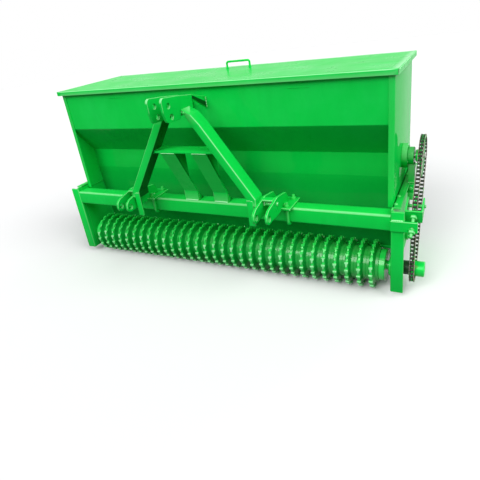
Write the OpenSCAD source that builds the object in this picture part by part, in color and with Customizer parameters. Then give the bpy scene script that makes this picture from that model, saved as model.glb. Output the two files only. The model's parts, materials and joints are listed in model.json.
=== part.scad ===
// Mounted seed drill with a long hopper, a lid and two toothed-ring rollers.
// Millimetres. X runs along the hopper, Y points away from the tractor, Z is up.

/* [Beams and side plates] */
// length of both cross beams, between the side plates
beam_l = 1916; // [1400:4:2600]
// side of the square front beam
beam_s = 80; // [60:1:120]
// wall of the beams
beam_t = 6; // [3:0.5:10]
// front face of the front beam
beam_y = -340; // [-420:1:-280]
// top face of the front beam
beam_z = 440; // [380:1:520]
// side of the square rear beam
rear_s = 60; // [40:1:80]
// rear face of the rear beam
rear_y = 300; // [240:1:400]
// thickness of a side plate
side_t = 8; // [5:0.5:14]
// width of the front flange of a side plate
post_w = 58; // [40:1:80]
// height of the side plates above the ground
side_z0 = 36; // [20:1:80]
// top of the side plates
side_z1 = 465; // [420:1:520]
// height of the side plate's rear corner
side_rear_z = 300; // [200:1:380]
// bevel on the front top corner of a side plate
side_bevel = 8; // [4:1:40]
// width of the flange on top of a side plate
rail_w = 30; // [20:1:50]

/* [Hopper] */
// front face of the hopper
hop_y0 = -249; // [-320:1:-180]
// rear face of the hopper
hop_y1 = 289; // [220:1:360]
// sheet of the hopper
hop_t = 3; // [2:0.5:5]
// thickness of an end plate
end_t = 4; // [3:0.5:8]
// width of the flange in front of an end plate
end_flange = 26; // [15:1:40]
// rim of the hopper
rim_z = 1048; // [950:1:1200]
// fold where the walls start to slope
fold1_z = 824; // [760:1:880]
// fold where the slope meets the metering trough
fold2_z = 659; // [600:1:720]
// lower edge of the metering trough
fold3_z = 540; // [500:1:580]
// width of the metering trough
trough_w = 286; // [220:1:340]
// lower edge of the front wind shield, on the scraper bar
shield_front_z = 152; // [120:1:300]
// lower edge of the rear wind shield
shield_z = 330; // [250:1:420]
// inward lean of a wind shield at its lower edge
shield_in = 22; // [0:1:60]

/* [Lid] */
// overhang of the lid at each end
lid_side = 18; // [12:1:40]
// overhang of the lid in front
lid_front = 20; // [18:1:30]
// overhang of the lid behind
lid_rear = 26; // [12:1:60]
// top of the lid
lid_z = 1056; // [960:1:1210]
// depth of the turned-down lip
lid_lip = 24; // [15:1:40]
// sheet of the lid
lid_t = 2.5; // [1.5:0.5:5]
// place of the handle along the lid
grip_x = 15; // [-200:1:200]
// distance of the handle from the rear edge
grip_in = 105; // [40:1:200]
// width of the handle
grip_w = 160; // [100:1:260]
// height of the handle
grip_h = 44; // [30:1:70]
// bar of the handle
grip_d = 12; // [8:1:20]

/* [Rollers] */
// pitch of the rings
ring_p = 58; // [45:1:75]
// least room between the rings and a side plate
ring_room = 59; // [50:1:90]
// radius over the tips of the front rings
front_r = 121; // [90:1:150]
// radius of the body between the front rings
front_drum = 84; // [60:1:110]
// front roller axis behind the hopper's zero line
front_y = -241; // [-300:1:-200]
// radius over the tips of the rear rings
rear_r = 105; // [80:1:140]
// radius of the body between the rear rings
rear_drum = 74; // [50:1:100]
// rear roller axis
rear_axis_y = 172; // [150:1:240]
// diameter of the roller shafts
axle_d = 45; // [30:1:60]
// gap between the front rings and the scraper bar
scraper_gap = 12; // [5:1:30]
// height of the scraper bar above the ground
scraper_z = 138; // [100:1:200]
// side of the scraper bar
scraper_s = 14; // [8:1:30]
// half width of a ring at its crest
crest_w = 5; // [3:0.5:10]
// half width of a ring at its foot
foot_w = 15; // [8:0.5:24]
// running clearance of a shaft on its radius
run_c = 0.05; // [0.02:0.01:0.1]

/* [Seed metering] */
// metering shaft axis, depth
meter_y = 20; // [-20:1:60]
// metering shaft axis, height
meter_z = 600; // [570:1:630]
// diameter of the metering shaft
meter_d = 25; // [16:1:35]
// least room between the seed cups and an end plate
cup_room = 50; // [30:1:90]
// pitch of the seed cups
cup_p = 100; // [70:1:140]
// width of a seed cup
cup_w = 50; // [30:1:60]
// depth of a seed cup
cup_l = 90; // [60:1:120]

/* [Chain drive] */
// pitch of the chain
chain_p = 19.05; // [12.7:0.01:25.4]
// distance of the chain from the side plate's inner face
chain_out = 90; // [84:1:120]
// height of a link plate
link_h = 17; // [12:0.5:22]
// thickness of a link plate
link_t = 2; // [1:0.25:4]
// gap between the inner link plates
link_w = 14; // [9:0.5:18]
// diameter of a chain roller
roller_d = 12; // [8:0.5:13]
// teeth of the metering sprocket
top_n = 32; // [20:1:44]
// teeth of the roller sprocket
low_n = 19; // [12:1:28]
// teeth of the idler
idle_n = 15; // [11:1:21]
// thickness of the sprockets
tooth_t = 10; // [6:0.5:12]
// slope of the tensioner rod
idle_tilt = 18; // [0:1:40]
// distance of the idler from the tensioner bar
idle_d = 150; // [120:1:190]
// height of the rod at the tensioner bar
idle_z = 386; // [370:1:400]

/* [Three-point hitch] */
// spread of the lower hitch points
hitch_w = 824; // [700:1:900]
// clear gap between the ears of a lower clevis
clevis_gap = 54; // [48:1:70]
// plate of the ears
ear_t = 12; // [8:1:16]
// lower pin, depth
pin_y = -517; // [-560:1:-460]
// lower pin, height
pin_z = 460; // [430:1:500]
// diameter of the lower pin hole
pin_d = 29; // [22:0.5:38]
// diameter of the spacer between the ears of a clevis
spacer_d = 22; // [18:0.5:30]
// clear gap between the upper ears
top_gap = 66; // [52:1:86]
// upper pin hole of the mast, depth
top_y = -567; // [-600:1:-520]
// upper pin hole of the mast, height
top_z = 1006; // [950:1:1060]
// distance of the second upper hole below the first
hole_gap = 51; // [45:1:60]
// diameter of the upper pin holes
top_d = 26; // [19:0.5:32]
// front face of the mast legs
leg_y = -482; // [-510:1:-440]
// depth of a mast leg
leg_d = 80; // [50:1:100]
// width of a mast leg
leg_w = 49; // [30:1:60]
// wall of a mast leg
leg_t = 5; // [3:0.5:8]
// distance of the legs' top below the first upper hole
leg_drop = 49; // [40:1:60]
// height where the legs turn upright
leg_z0 = 536; // [500:1:580]
// length of the upright end of a leg
leg_up = 34; // [20:1:60]
// lower end of the strap in front of a leg
strap_z = 396; // [360:1:440]
// width of the strap
strap_w = 34; // [20:1:42]
// underside of the crossbar between the legs
cross_z = 752; // [700:1:820]
// distance of the crossbar behind the front of the legs
cross_in = 14; // [4:1:30]
// depth of the crossbar
cross_d = 94; // [60:1:110]
// plate of the crossbar
cross_t = 10; // [6:1:16]
// distance of a brace from the middle
brace_x = 92; // [50:1:140]
// width of a brace
brace_w = 85; // [40:1:100]
// plate of a brace
brace_t = 10; // [6:1:14]
// distance of a brace's foot from the beam's front face
brace_in = 8; // [2:1:40]
// height of a brace's upright end on the beam
brace_up = 56; // [20:1:80]
// plate of the ribs under the crossbar
rib_t = 8; // [4:1:12]
// height of the mast ears where they meet the hopper
tongue_z = 928; // [880:1:960]

/* [Hidden] */
$fn = 48;
fuse = 0.01;
seat_c = 0.3;
beam_y1 = beam_y + beam_s;
beam_z0 = beam_z - beam_s;
side_x = beam_l / 2;
chain_x = side_x + chain_out;
lid_l = beam_l + 2 * lid_side;
front_n = floor((beam_l - 2 * ring_room) / ring_p);
cup_n = floor((beam_l - 2 * cup_room) / cup_p);
post_x = side_x + post_w;
hop_c = (hop_y0 + hop_y1) / 2;
end_x = side_x;
trough_y0 = hop_c - trough_w / 2;
trough_y1 = hop_c + trough_w / 2;
front_z = front_r;
rear_z = rear_r;
clutch_l = 44;
cap_l = 6;
xmax = chain_x + 8 + clutch_l;
xmin = -post_x;
ear_front = top_y - 47;
ymin = ear_front;
ymax = hop_y1 + lid_rear;
shift = [-(xmax + xmin) / 2, -(ymax + ymin) / 2, 0];
function sprocket_r(n) = chain_p / 2 / sin(180 / n);
top_r = sprocket_r(top_n);
low_r = sprocket_r(low_n);
idle_r = sprocket_r(idle_n);
bar_t = 12;
bar_y = beam_y - bar_t;
idle_c = [bar_y + bar_t / 2 + idle_d * cos(idle_tilt), idle_z + idle_d * sin(idle_tilt)];
top_c = [meter_y, meter_z];
low_c = [front_y, front_z];
hinge_y = hop_y0 - lid_front + 4;
hinge_r = 4;
hinge_z = lid_z - lid_lip + hinge_r + 1;
bracket_x = hitch_w / 2;
leg_z1 = top_z - leg_drop;
ear_x = clevis_gap / 2 + ear_t;
foot_x = bracket_x - ear_x;
top_x = top_gap / 2 + ear_t;
green = [0.05, 0.55, 0.2];
dark = [0.25, 0.24, 0.22];
steel = [0.6, 0.6, 0.58];

// moves everything from the drawing's zero to the middle of the machine
module placed() translate(shift) children();

// extrudes an outline drawn as depth and height, from x0 to x1
module across(x0, x1) translate([x0, 0, 0]) rotate([90, 0, 90]) linear_extrude(x1 - x0) children();

// box from two corners
module block(a, b) translate(a) cube(b - a);

// cylinder along X
module rod_x(x0, x1, y, z, r) translate([x0, y, z]) rotate([0, 90, 0]) cylinder(r = r, h = x1 - x0);

module mirror_x() mirror([1, 0, 0]) children();

// square tube along X
module tube_x(l, y0, z0, s, t) {
  difference() {
    block([-l / 2, y0, z0], [l / 2, y0 + s, z0 + s]);
    block([-l / 2 - 1, y0 + t, z0 + t], [l / 2 + 1, y0 + s - t, z0 + s - t]);
  }
}

module front_beam() color(green) placed() tube_x(beam_l, beam_y, beam_z0, beam_s, beam_t);

module rear_beam() color(green) placed() tube_x(beam_l, rear_y - rear_s, beam_z - rear_s, rear_s, beam_t);

module side_plate() {
  union() {
    difference() {
      across(side_x, side_x + side_t) polygon([
        [beam_y, side_z0], [beam_y, side_z1 - side_bevel], [beam_y + side_bevel, side_z1], [rear_y, side_z1],
        [rear_y, side_rear_z], [rear_y - post_w * 0.6, side_z0 * 2], [rear_y - post_w * 1.4, side_z0]
      ]);
      rod_x(side_x - 1, side_x + side_t + 1, front_y, front_z, axle_d / 2 + 8);
      rod_x(side_x - 1, side_x + side_t + 1, rear_axis_y, rear_z, axle_d / 2 + 8);
    }
    block([side_x, beam_y, side_z0], [post_x, beam_y + side_t, side_z1 - side_bevel]);
    block([side_x, beam_y + 30, side_z1 - side_t], [side_x + side_t + rail_w, rear_y, side_z1]);
  }
}

module side_plate_right() color(green) placed() side_plate();
module side_plate_left() color(green) placed() mirror_x() side_plate();

// one bent sheet, drawn as its outer folds, wall inwards; s is +1 in front, -1 behind
module hopper_sheet(y0, yt, low, s) {
  t = hop_t;
  across(-end_x + end_t, end_x - end_t) polygon([
    [y0, rim_z], [y0, fold1_z], [yt, fold2_z], [yt, fold3_z], [yt + s * shield_in, low],
    [yt + s * (shield_in + t), low], [yt + s * t, fold3_z], [yt + s * t, fold2_z + 2],
    [y0 + s * t, fold1_z + 2], [y0 + s * t, rim_z]
  ]);
}

module hopper_front() color(green) placed() hopper_sheet(hop_y0, trough_y0, shield_front_z, 1);
module hopper_rear() color(green) placed() hopper_sheet(hop_y1, trough_y1, shield_z, -1);

module hopper_end() {
  difference() {
    union() {
      block([end_x - end_t, hop_y0, beam_z], [end_x, hop_y1, rim_z]);
      block([end_x - end_flange, hop_y0 - end_t, beam_z], [end_x, hop_y0, rim_z]);
      block([end_x - end_flange, hop_y1, beam_z], [end_x, hop_y1 + end_t, rim_z]);
    }
    rod_x(end_x - end_t - 1, end_x + 1, meter_y, meter_z, meter_d / 2 + 6);
  }
}

module hopper_end_right() color(green) placed() hopper_end();
module hopper_end_left() color(green) placed() mirror_x() hopper_end();

cup_z1 = fold2_z - 10;
cup_z0 = meter_z - 48;

cup_t = 4;
outlet_w = 24;
outlet_l = 30;

module hopper_floor() {
  mouth = [cup_w - 3 * cup_t, cup_l - 10 * cup_t, 4 * hop_t];
  color(green) placed() difference() {
    block([-end_x + end_t, trough_y0 + hop_t, cup_z1], [end_x - end_t, trough_y1 - hop_t, cup_z1 + hop_t]);
    for (i = [0 : cup_n - 1])
      translate([(i - (cup_n - 1) / 2) * cup_p, meter_y, cup_z1]) cube(mouth, center = true);
  }
}

module seed_cup() {
  difference() {
    translate([-cup_w / 2, meter_y - cup_l / 2, cup_z0]) cube([cup_w, cup_l, cup_z1 - cup_z0]);
    translate([-cup_w / 2 + cup_t, meter_y - cup_l / 2 + cup_t, cup_z0 + cup_t + 2])
      cube([cup_w - 2 * cup_t, cup_l - 2 * cup_t, cup_z1]);
    translate([-outlet_w / 2, meter_y - outlet_l / 2, cup_z0 - 1]) cube([outlet_w, outlet_l, 5 * cup_t]);
    rod_x(-cup_w, cup_w, meter_y, meter_z, meter_d / 2 + 5);
  }
}

module seed_cups() {
  color(dark) placed() for (i = [0 : cup_n - 1])
    translate([(i - (cup_n - 1) / 2) * cup_p, 0, 0]) seed_cup();
}

pin_r = 2.5;
leaf_w = 30;
leaf_gap = 2;
knuckle_w = 17;
knuckle_x = leaf_w / 2 + leaf_gap;
hinge_xs = [for (k = [-3, -1, 1, 3]) k * lid_l / 8.13];

module lid_hinge_leaves() {
  color(green) placed() for (x = hinge_xs) translate([x, 0, 0]) difference() {
    union() {
      rod_x(-leaf_w / 2, leaf_w / 2, hinge_y, hinge_z, hinge_r);
      block([-leaf_w / 2, hinge_y, hinge_z - hinge_r], [leaf_w / 2, hop_y0, hinge_z + hinge_r]);
    }
    rod_x(-leaf_w, leaf_w, hinge_y, hinge_z, pin_r + run_c);
  }
}

lid_y0 = hop_y0 - lid_front;
lid_y1 = hop_y1 + lid_rear;

module lid_panel() {
  color(green) placed() block([-lid_l / 2, lid_y0, lid_z - lid_t], [lid_l / 2, lid_y1, lid_z]);
}

// lip in front, with the knuckles and pins of the hinges on it, and a lip at each end
module lid_lips() {
  z0 = lid_z - lid_lip;
  z1 = lid_z - lid_t;
  slot = leaf_w / 2 + leaf_gap / 2;
  pin_x = knuckle_x + knuckle_w;
  color(green) placed() union() {
    for (s = [0, 1]) mirror([s, 0, 0])
      block([lid_l / 2 - lid_t, lid_y0 + lid_t + seat_c, z0], [lid_l / 2, lid_y1, z1]);
    difference() {
      block([-lid_l / 2, lid_y0, z0], [lid_l / 2, lid_y0 + lid_t, z1]);
      for (x = hinge_xs)
        block([x - slot, lid_y0 - 1, z0 - 1], [x + slot, lid_y0 + lid_t + 1, hinge_z + hinge_r + 1]);
    }
    for (x = hinge_xs) translate([x, 0, 0]) {
      rod_x(-pin_x, pin_x, hinge_y, hinge_z, pin_r);
      for (a = [-pin_x, knuckle_x]) {
        rod_x(a, a + knuckle_w, hinge_y, hinge_z, hinge_r);
        block([a, lid_y0 + fuse, hinge_z], [a + knuckle_w, hinge_y + hinge_r - 1, z1]);
      }
    }
  }
}

module lid_handle() {
  y = hop_y1 + lid_rear - grip_in;
  color(green) placed() translate([grip_x, y, lid_z]) union() {
    for (s = [-1, 1]) translate([s * (grip_w - grip_d) / 2, 0, 0])
      cylinder(d = grip_d, h = grip_h - grip_d / 2);
    for (s = [-1, 1]) translate([s * (grip_w - grip_d) / 2, 0, grip_h - grip_d / 2]) sphere(d = grip_d);
    rod_x(-(grip_w - grip_d) / 2, (grip_w - grip_d) / 2, 0, grip_h - grip_d / 2, grip_d / 2);
  }
}

// profile of a stack of n rings, radius over length, turned about X
module ring_stack(n, rt, rd) {
  base = rd - 2;
  rotate([0, 90, 0]) difference() {
    union() {
      cylinder(r = rd, h = n * ring_p, center = true);
      for (i = [0 : n - 1]) translate([0, 0, (i - (n - 1) / 2) * ring_p]) rotate_extrude()
        polygon([[base, -foot_w], [rd, -foot_w], [rt, -crest_w], [rt, crest_w], [rd, foot_w], [base, foot_w]]);
    }
    cylinder(d = axle_d, h = n * ring_p + 2, center = true);
  }
}

module front_rings() {
  color(green) placed() translate([0, front_y, front_z]) ring_stack(front_n, front_r, front_drum);
}

rear_n = front_n - 1;
module rear_rings() {
  color(green) placed() translate([0, rear_axis_y, rear_z]) ring_stack(rear_n, rear_r, rear_drum);
}

// shaft with a collar against each end of a stack of n rings
collar_r = 78;
collar_l = 28;
shaft_end = 26;
module roller_shaft(n, x0, x1, y, z, r) {
  stack = n * ring_p / 2;
  union() {
    rod_x(x0, x1, y, z, axle_d / 2);
    rod_x(stack, stack + collar_l, y, z, r);
    rod_x(-stack - collar_l, -stack, y, z, r);
  }
}

module front_shaft() {
  color(dark) placed()
    roller_shaft(front_n, -side_x - shaft_end, xmax - cap_l, front_y, front_z, collar_r);
}

module rear_shaft() {
  color(dark) placed()
    roller_shaft(rear_n, -side_x - shaft_end, side_x + shaft_end, rear_axis_y, rear_z, collar_r - 12);
}

bearing_r = 52;
bearing_in = 16;
bearing_out = 14;
low_hub_r = 34;
clutch_r = 37;
top_hub_r = 30;
top_hub_l = 30;

// wheel of a sprocket up to the rollers of the chain, at the zero of the YZ plane
module sprocket(n, bore) {
  difference() {
    rod_x(chain_x - tooth_t / 2, chain_x + tooth_t / 2, 0, 0, sprocket_r(n) - roller_d / 2 - seat_c);
    rod_x(chain_x - 20, chain_x + 20, 0, 0, bore);
  }
}

module roller_sprocket() {
  color(dark) placed() translate([0, front_y, front_z]) union() {
    sprocket(low_n, axle_d / 2);
    difference() {
      union() {
        rod_x(side_x + side_t + bearing_out + 4, chain_x - tooth_t / 2, 0, 0, low_hub_r);
        rod_x(chain_x + tooth_t / 2, xmax, 0, 0, clutch_r);
      }
      rod_x(side_x, xmax - cap_l, 0, 0, axle_d / 2);
    }
  }
}

module metering_shaft() {
  color(steel) placed() rod_x(-end_x - 34, chain_x + 14, meter_y, meter_z, meter_d / 2);
}

module metering_sprocket() {
  color(dark) placed() translate([0, meter_y, meter_z]) union() {
    sprocket(top_n, meter_d / 2);
    difference() {
      rod_x(chain_x - top_hub_l, chain_x - tooth_t / 2, 0, 0, top_hub_r);
      rod_x(chain_x - top_hub_l - 1, chain_x, 0, 0, meter_d / 2);
    }
  }
}

idle_pin_r = 8;
module idler_sprocket() {
  color(dark) placed() translate([0, idle_c[0], idle_c[1]]) sprocket(idle_n, idle_pin_r + run_c);
}

// unit normal of the outer tangent from circle a to circle b
function tangent_n(a, b, ra, rb) =
  let (d = b - a, l = norm(d), c = (ra - rb) / l, s = sqrt(1 - c * c), u = d / l)
  [u[0] * c + u[1] * s, u[1] * c - u[0] * s];

// the loop runs top sprocket, idler, roller sprocket, back to the top
loop_c = [top_c, idle_c, low_c];
loop_r = [top_r, idle_r, low_r];
loop_n = [for (i = [0 : 2]) tangent_n(loop_c[i], loop_c[(i + 1) % 3], loop_r[i], loop_r[(i + 1) % 3])];
loop_a = [for (n = loop_n) atan2(n[1], n[0])];
function turn(a) = a < 0 ? a + 360 : a;
// arc on wheel i, in degrees, and the straight run after it
wrap = [for (i = [0 : 2]) turn(loop_a[i] - loop_a[(i + 2) % 3])];
run = [
  for (i = [0 : 2]) let (d = norm(loop_c[(i + 1) % 3] - loop_c[i]), step = loop_r[i] - loop_r[(i + 1) % 3])
    sqrt(d * d - step * step)
];
part_l = [for (i = [0 : 2]) loop_r[i] * wrap[i] * PI / 180 + run[i]];
loop_l = part_l[0] + part_l[1] + part_l[2];
link_n = 2 * round(loop_l / chain_p / 2);

// pin centre and outward normal at a distance along the loop
function loop_at(s, i = 0) =
  s > part_l[i] && i < 2 ? loop_at(s - part_l[i], i + 1) :
  let (arc = loop_r[i] * wrap[i] * PI / 180, k = min(s, arc) / loop_r[i] * 180 / PI)
  let (a = loop_a[(i + 2) % 3] + k, n = [cos(a), sin(a)], along = [-n[1], n[0]])
  [loop_c[i] + loop_r[i] * n + max(0, s - arc) * along, n];

pins = [for (k = [0 : link_n - 1]) loop_at((k + 0.5) * loop_l / link_n)];
// edge of the link plates: h off the pitch line at each pin, waist off it between two pins
function link_edge(h, waist) = [
  for (k = [0 : link_n - 1]) for (half = [0, 1])
    let (p = pins[k], q = pins[(k + 1) % link_n])
    half == 0 ? p[0] + h * p[1] : (p[0] + q[0]) / 2 + waist * (p[1] + q[1]) / 2
];

module drive_chain() {
  w = link_w / 2;
  h = link_h / 2;
  color(dark) placed() union() {
    for (x = [chain_x - w - link_t, chain_x + w + link_t]) across(x - link_t, x + link_t) difference() {
      polygon(link_edge(h, h * 0.7));
      polygon(link_edge(-h, -h * 0.7));
    }
    for (p = pins) translate([chain_x - w - 1, p[0][0], p[0][1]]) rotate([0, 90, 0])
      cylinder(d = roller_d, h = 2 * w + 2, $fn = 8);
  }
}

hub_l = 27;
hub_r = 60;
barrel_r = 43;

// flanged hub of the metering shaft with a barrel on the chain's side
module hub_right() {
  color(green) placed() difference() {
    union() {
      rod_x(end_x, end_x + hub_l, meter_y, meter_z, hub_r);
      rod_x(end_x + hub_l, end_x + 2 * hub_l, meter_y, meter_z, barrel_r);
    }
    rod_x(end_x - 1, end_x + 2 * hub_l + 1, meter_y, meter_z, meter_d / 2 + run_c);
  }
}

module hub_left() {
  color(green) placed() difference() {
    rod_x(-end_x - hub_l + 5, -end_x, meter_y, meter_z, barrel_r + 2);
    rod_x(-end_x - hub_l, -end_x + 1, meter_y, meter_z, meter_d / 2 + run_c);
  }
}

// post from the rail up to the hub, on a block that hangs beside the side plate
module hub_support() {
  x0 = side_x + hub_l + 1;
  x1 = x0 + 30;
  y0 = meter_y - 20;
  y1 = meter_y + 20;
  rail_z = side_z1 - side_t;
  color(green) placed() difference() {
    union() {
      block([x0, y0, side_z1], [x1, y1, meter_z]);
      block([side_x + side_t + rail_w, y0, rail_z - 1], [x1, y1, side_z1 + 1]);
      block([side_x + side_t, y0, rail_z - 48], [x1 - 1, y1, rail_z]);
      block([x0, y0, rail_z - 87], [x1 - 3, y1, rail_z - 47]);
    }
    rod_x(side_x, x1 + 1, meter_y, meter_z, barrel_r + seat_c);
  }
}

rod_r = 8;
yoke_d = idle_d - idle_r - link_h / 2 - 32;
yoke_low = 22;
yoke_high = 44;
yoke_w = 74;
prong_low = 20;
prong_t = 6;
nut_r = 15;

module tensioner_bar() {
  color(green) placed() difference() {
    block([side_x, bar_y, idle_z - 19], [chain_x + 25, bar_y + bar_t, idle_z + 31]);
    translate([chain_x, bar_y + bar_t / 2, idle_z]) rotate([90 + idle_tilt, 0, 0])
      cylinder(r = rod_r + 0.6, h = 60, center = true);
  }
}

module tensioner_yoke() {
  color(green) placed() translate([chain_x, bar_y + bar_t / 2, idle_z]) rotate([idle_tilt, 0, 0]) union() {
    rotate([-90, 0, 0]) translate([0, 0, -34]) cylinder(r = rod_r, h = 34 + yoke_d + 1);
    translate([0, -bar_t - 2, 0]) rotate([90, 0, 0]) cylinder(r = nut_r, h = 13, $fn = 6);
    translate([-yoke_w / 2, yoke_d, -yoke_low]) cube([yoke_w, 8, yoke_low + yoke_high]);
    for (x = [-yoke_w / 2, yoke_w / 2 - prong_t]) translate([x, yoke_d, -prong_low])
      cube([prong_t, idle_d - yoke_d + 22, prong_low + yoke_high - 2]);
    rod_x(-yoke_w / 2 - 7, yoke_w / 2 + 7, idle_d, 0, idle_pin_r);
  }
}

module bearing(y, z) {
  difference() {
    union() {
      rod_x(side_x - bearing_in, side_x, y, z, bearing_r);
      rod_x(side_x + side_t, side_x + side_t + bearing_out, y, z, bearing_r);
    }
    rod_x(side_x - 20, side_x + 40, y, z, axle_d / 2 + run_c);
  }
}

module bearings_front() color(dark) placed() for (m = [0, 1]) mirror([m, 0, 0]) bearing(front_y, front_z);
module bearings_rear() color(dark) placed() for (m = [0, 1]) mirror([m, 0, 0]) bearing(rear_axis_y, rear_z);

module scraper_bar() {
  y = front_y + front_r + scraper_gap;
  color(green) placed() block([-side_x, y, scraper_z], [side_x, y + scraper_s, scraper_z + scraper_s]);
}

// mast leg, drawn as width and height, walls moved in by t
module leg_outline(t) {
  x1 = foot_x;
  x0 = foot_x - leg_w;
  k = t * 1.19;
  polygon([
    [top_x + k, leg_z1], [top_x + leg_w - k, leg_z1],
    [x1 - t, leg_z0], [x1 - t, leg_z0 - leg_up - t], [x0 + t, leg_z0 - leg_up - t], [x0 + t, leg_z0]
  ]);
}

module mast_leg() {
  union() {
    difference() {
      translate([0, leg_y + leg_d, 0]) rotate([90, 0, 0]) linear_extrude(leg_d) leg_outline(0);
      translate([0, leg_y + leg_d - leg_t, 0]) rotate([90, 0, 0])
        linear_extrude(leg_d - 2 * leg_t) leg_outline(leg_t);
    }
    translate([foot_x - leg_w, leg_y, strap_z]) cube([strap_w, leg_t + 4, leg_z0 - leg_up + 20 - strap_z]);
  }
}

module mast_leg_right() color(green) placed() mast_leg();
module mast_leg_left() color(green) placed() mirror_x() mast_leg();

top2_y = top_y + 12;
top2_z = top_z - hole_gap;
ear_rear = leg_y + leg_d + 30;

// upper ear with a round nose and a tongue back to the hopper
module mast_ear() {
  nose_r = 18;
  nose_z = top_z + 23;
  difference() {
    across(top_gap / 2, top_gap / 2 + ear_t) union() {
      translate([ear_front + nose_r, nose_z]) circle(r = nose_r);
      polygon([
        [ear_front, nose_z], [ear_front + 4, top_z - 23], [ear_front + 20, top_z - 70],
        [ear_front + 34, top_z - 76], [leg_y - 36, top_z - 78], [leg_y - 7, top_z - 76],
        [leg_y + 2, top_z - 62], [ear_rear - 2, top_z - 50], [ear_rear, top_z - 3],
        [hop_y0, tongue_z], [hop_y0, tongue_z + 56],
        [ear_rear, top_z + 12], [leg_y - 8, top_z + 29], [ear_front + nose_r, nose_z + nose_r]
      ]);
    }
    rod_x(0, 100, top_y, top_z, top_d / 2);
    rod_x(0, 100, top2_y, top2_z, top_d / 2);
  }
}

module mast_ears() {
  color(green) placed() union() {
    mast_ear();
    mirror_x() mast_ear();
    block([-top_gap / 2, leg_y + cross_in, leg_z1 - ear_t - 8], [top_gap / 2, leg_y + leg_d - 4, leg_z1 - 8]);
  }
}

cross_y = leg_y + cross_in;
function leg_in(z) = top_x + (leg_z1 - z) / (leg_z1 - leg_z0) * (foot_x - leg_w - top_x);

module mast_crossbar() {
  z1 = cross_z + cross_t;
  x0 = leg_in(cross_z) - 0.02;
  x1 = leg_in(z1) - 0.02;
  color(green) placed() translate([0, cross_y + cross_d, 0]) rotate([90, 0, 0]) linear_extrude(cross_d)
    polygon([[-x0, cross_z], [x0, cross_z], [x1, z1], [-x1, z1]]);
}

// bent strips from the crossbar to the beam, each with two ribs behind its upper end
module mast_braces() {
  t = brace_t;
  y = beam_y + brace_in;
  z = beam_z + brace_up;
  lean = (y - cross_y) / (cross_z - z);
  rib_y = cross_y + cross_d - 4;
  rib_z = cross_z - (rib_y - cross_y - t / 2) / lean;
  color(green) placed() for (s = [-1, 1]) translate([s * brace_x, 0, 0]) union() {
    across(-brace_w / 2, brace_w / 2) polygon([
      [cross_y, cross_z], [y, z], [y, beam_z], [y + t, beam_z], [y + t, z + t * 0.24], [cross_y + t * 1.13, cross_z]
    ]);
    for (e = [-1, 1]) translate([e * (brace_w - rib_t) / 2, 0, 0])
      across(-rib_t / 2, rib_t / 2) polygon([[cross_y + t / 2, cross_z], [rib_y, rib_z], [rib_y, cross_z]]);
  }
}

spacer_y = pin_y + 103;
spacer_z = pin_z + 31;
ubolt_r = 8;
ubolt_off = 60;
clamp_t = 10;
clamp_out = 34;
clamp_side = ubolt_off + 26;

// ear of a lower clevis, rounded about the pin
module clevis_ear() {
  r = 27;
  z1 = beam_z + clamp_t;
  difference() {
    union() {
      translate([pin_y, pin_z]) circle(r = r);
      polygon([
        [pin_y - r, pin_z], [pin_y - r - 1, pin_z + 14], [pin_y - 15, pin_z + 29], [pin_y + 2, pin_z + 40],
        [pin_y + 28, pin_z + 48], [pin_y + 74, pin_z + 58], [spacer_y + 14, spacer_z + 31],
        [beam_y1 - 37, spacer_z + 11], [beam_y1 - 30, spacer_z + 7], [beam_y1 - 11, z1 + 20], [beam_y1 - 10, z1],
        [beam_y - 2, z1], [beam_y - 2, beam_z - 3], [pin_y + r, pin_z - r], [pin_y, pin_z - r]
      ]);
    }
    translate([pin_y, pin_z]) circle(d = pin_d);
  }
}

module clevis() {
  gap = clevis_gap / 2;
  difference() {
    union() {
      for (s = [-1, 1]) {
        x = bracket_x + s * (gap + ear_t / 2);
        across(x - ear_t / 2, x + ear_t / 2) clevis_ear();
      }
      translate([bracket_x - gap - 1, spacer_y - 26, spacer_z + 21]) cube([clevis_gap + 2, 40, 8]);
      translate([bracket_x - clamp_side, beam_y - clamp_out, beam_z])
        cube([2 * clamp_side, beam_s + 2 * clamp_out, clamp_t]);
      rod_x(bracket_x - gap - 1, bracket_x + gap + 1, spacer_y, spacer_z, spacer_d / 2);
      rod_x(bracket_x + gap, bracket_x + ear_x + 7, spacer_y, spacer_z, spacer_d / 2 - 3);
    }
    for (s = [-1, 1], y = [beam_y - ubolt_r - 1, beam_y1 + ubolt_r + 1])
      translate([bracket_x + s * ubolt_off, y, beam_z - 1]) cylinder(r = ubolt_r + 0.5, h = clamp_t + 2);
  }
}

module clevis_right() color(green) placed() clevis();
module clevis_left() color(green) placed() mirror_x() clevis();

module clamp(x) {
  h = beam_z + clamp_t + 24;
  y0 = beam_y - ubolt_r - 1;
  y1 = beam_y1 + ubolt_r + 1;
  z0 = beam_z0 - ubolt_r - 1;
  union() {
    for (y = [y0, y1]) {
      translate([x, y, z0]) cylinder(r = ubolt_r, h = h - z0);
      translate([x, y, z0]) sphere(r = ubolt_r);
      translate([x, y, beam_z + clamp_t]) cylinder(r = 14, h = 12, $fn = 6);
    }
    translate([x, y0, z0]) rotate([-90, 0, 0]) cylinder(r = ubolt_r, h = y1 - y0);
  }
}

module clamps_right() color(dark) placed() for (s = [-1, 1]) clamp(bracket_x + s * ubolt_off);
module clamps_left() color(dark) placed() mirror_x() for (s = [-1, 1]) clamp(bracket_x + s * ubolt_off);

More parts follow.
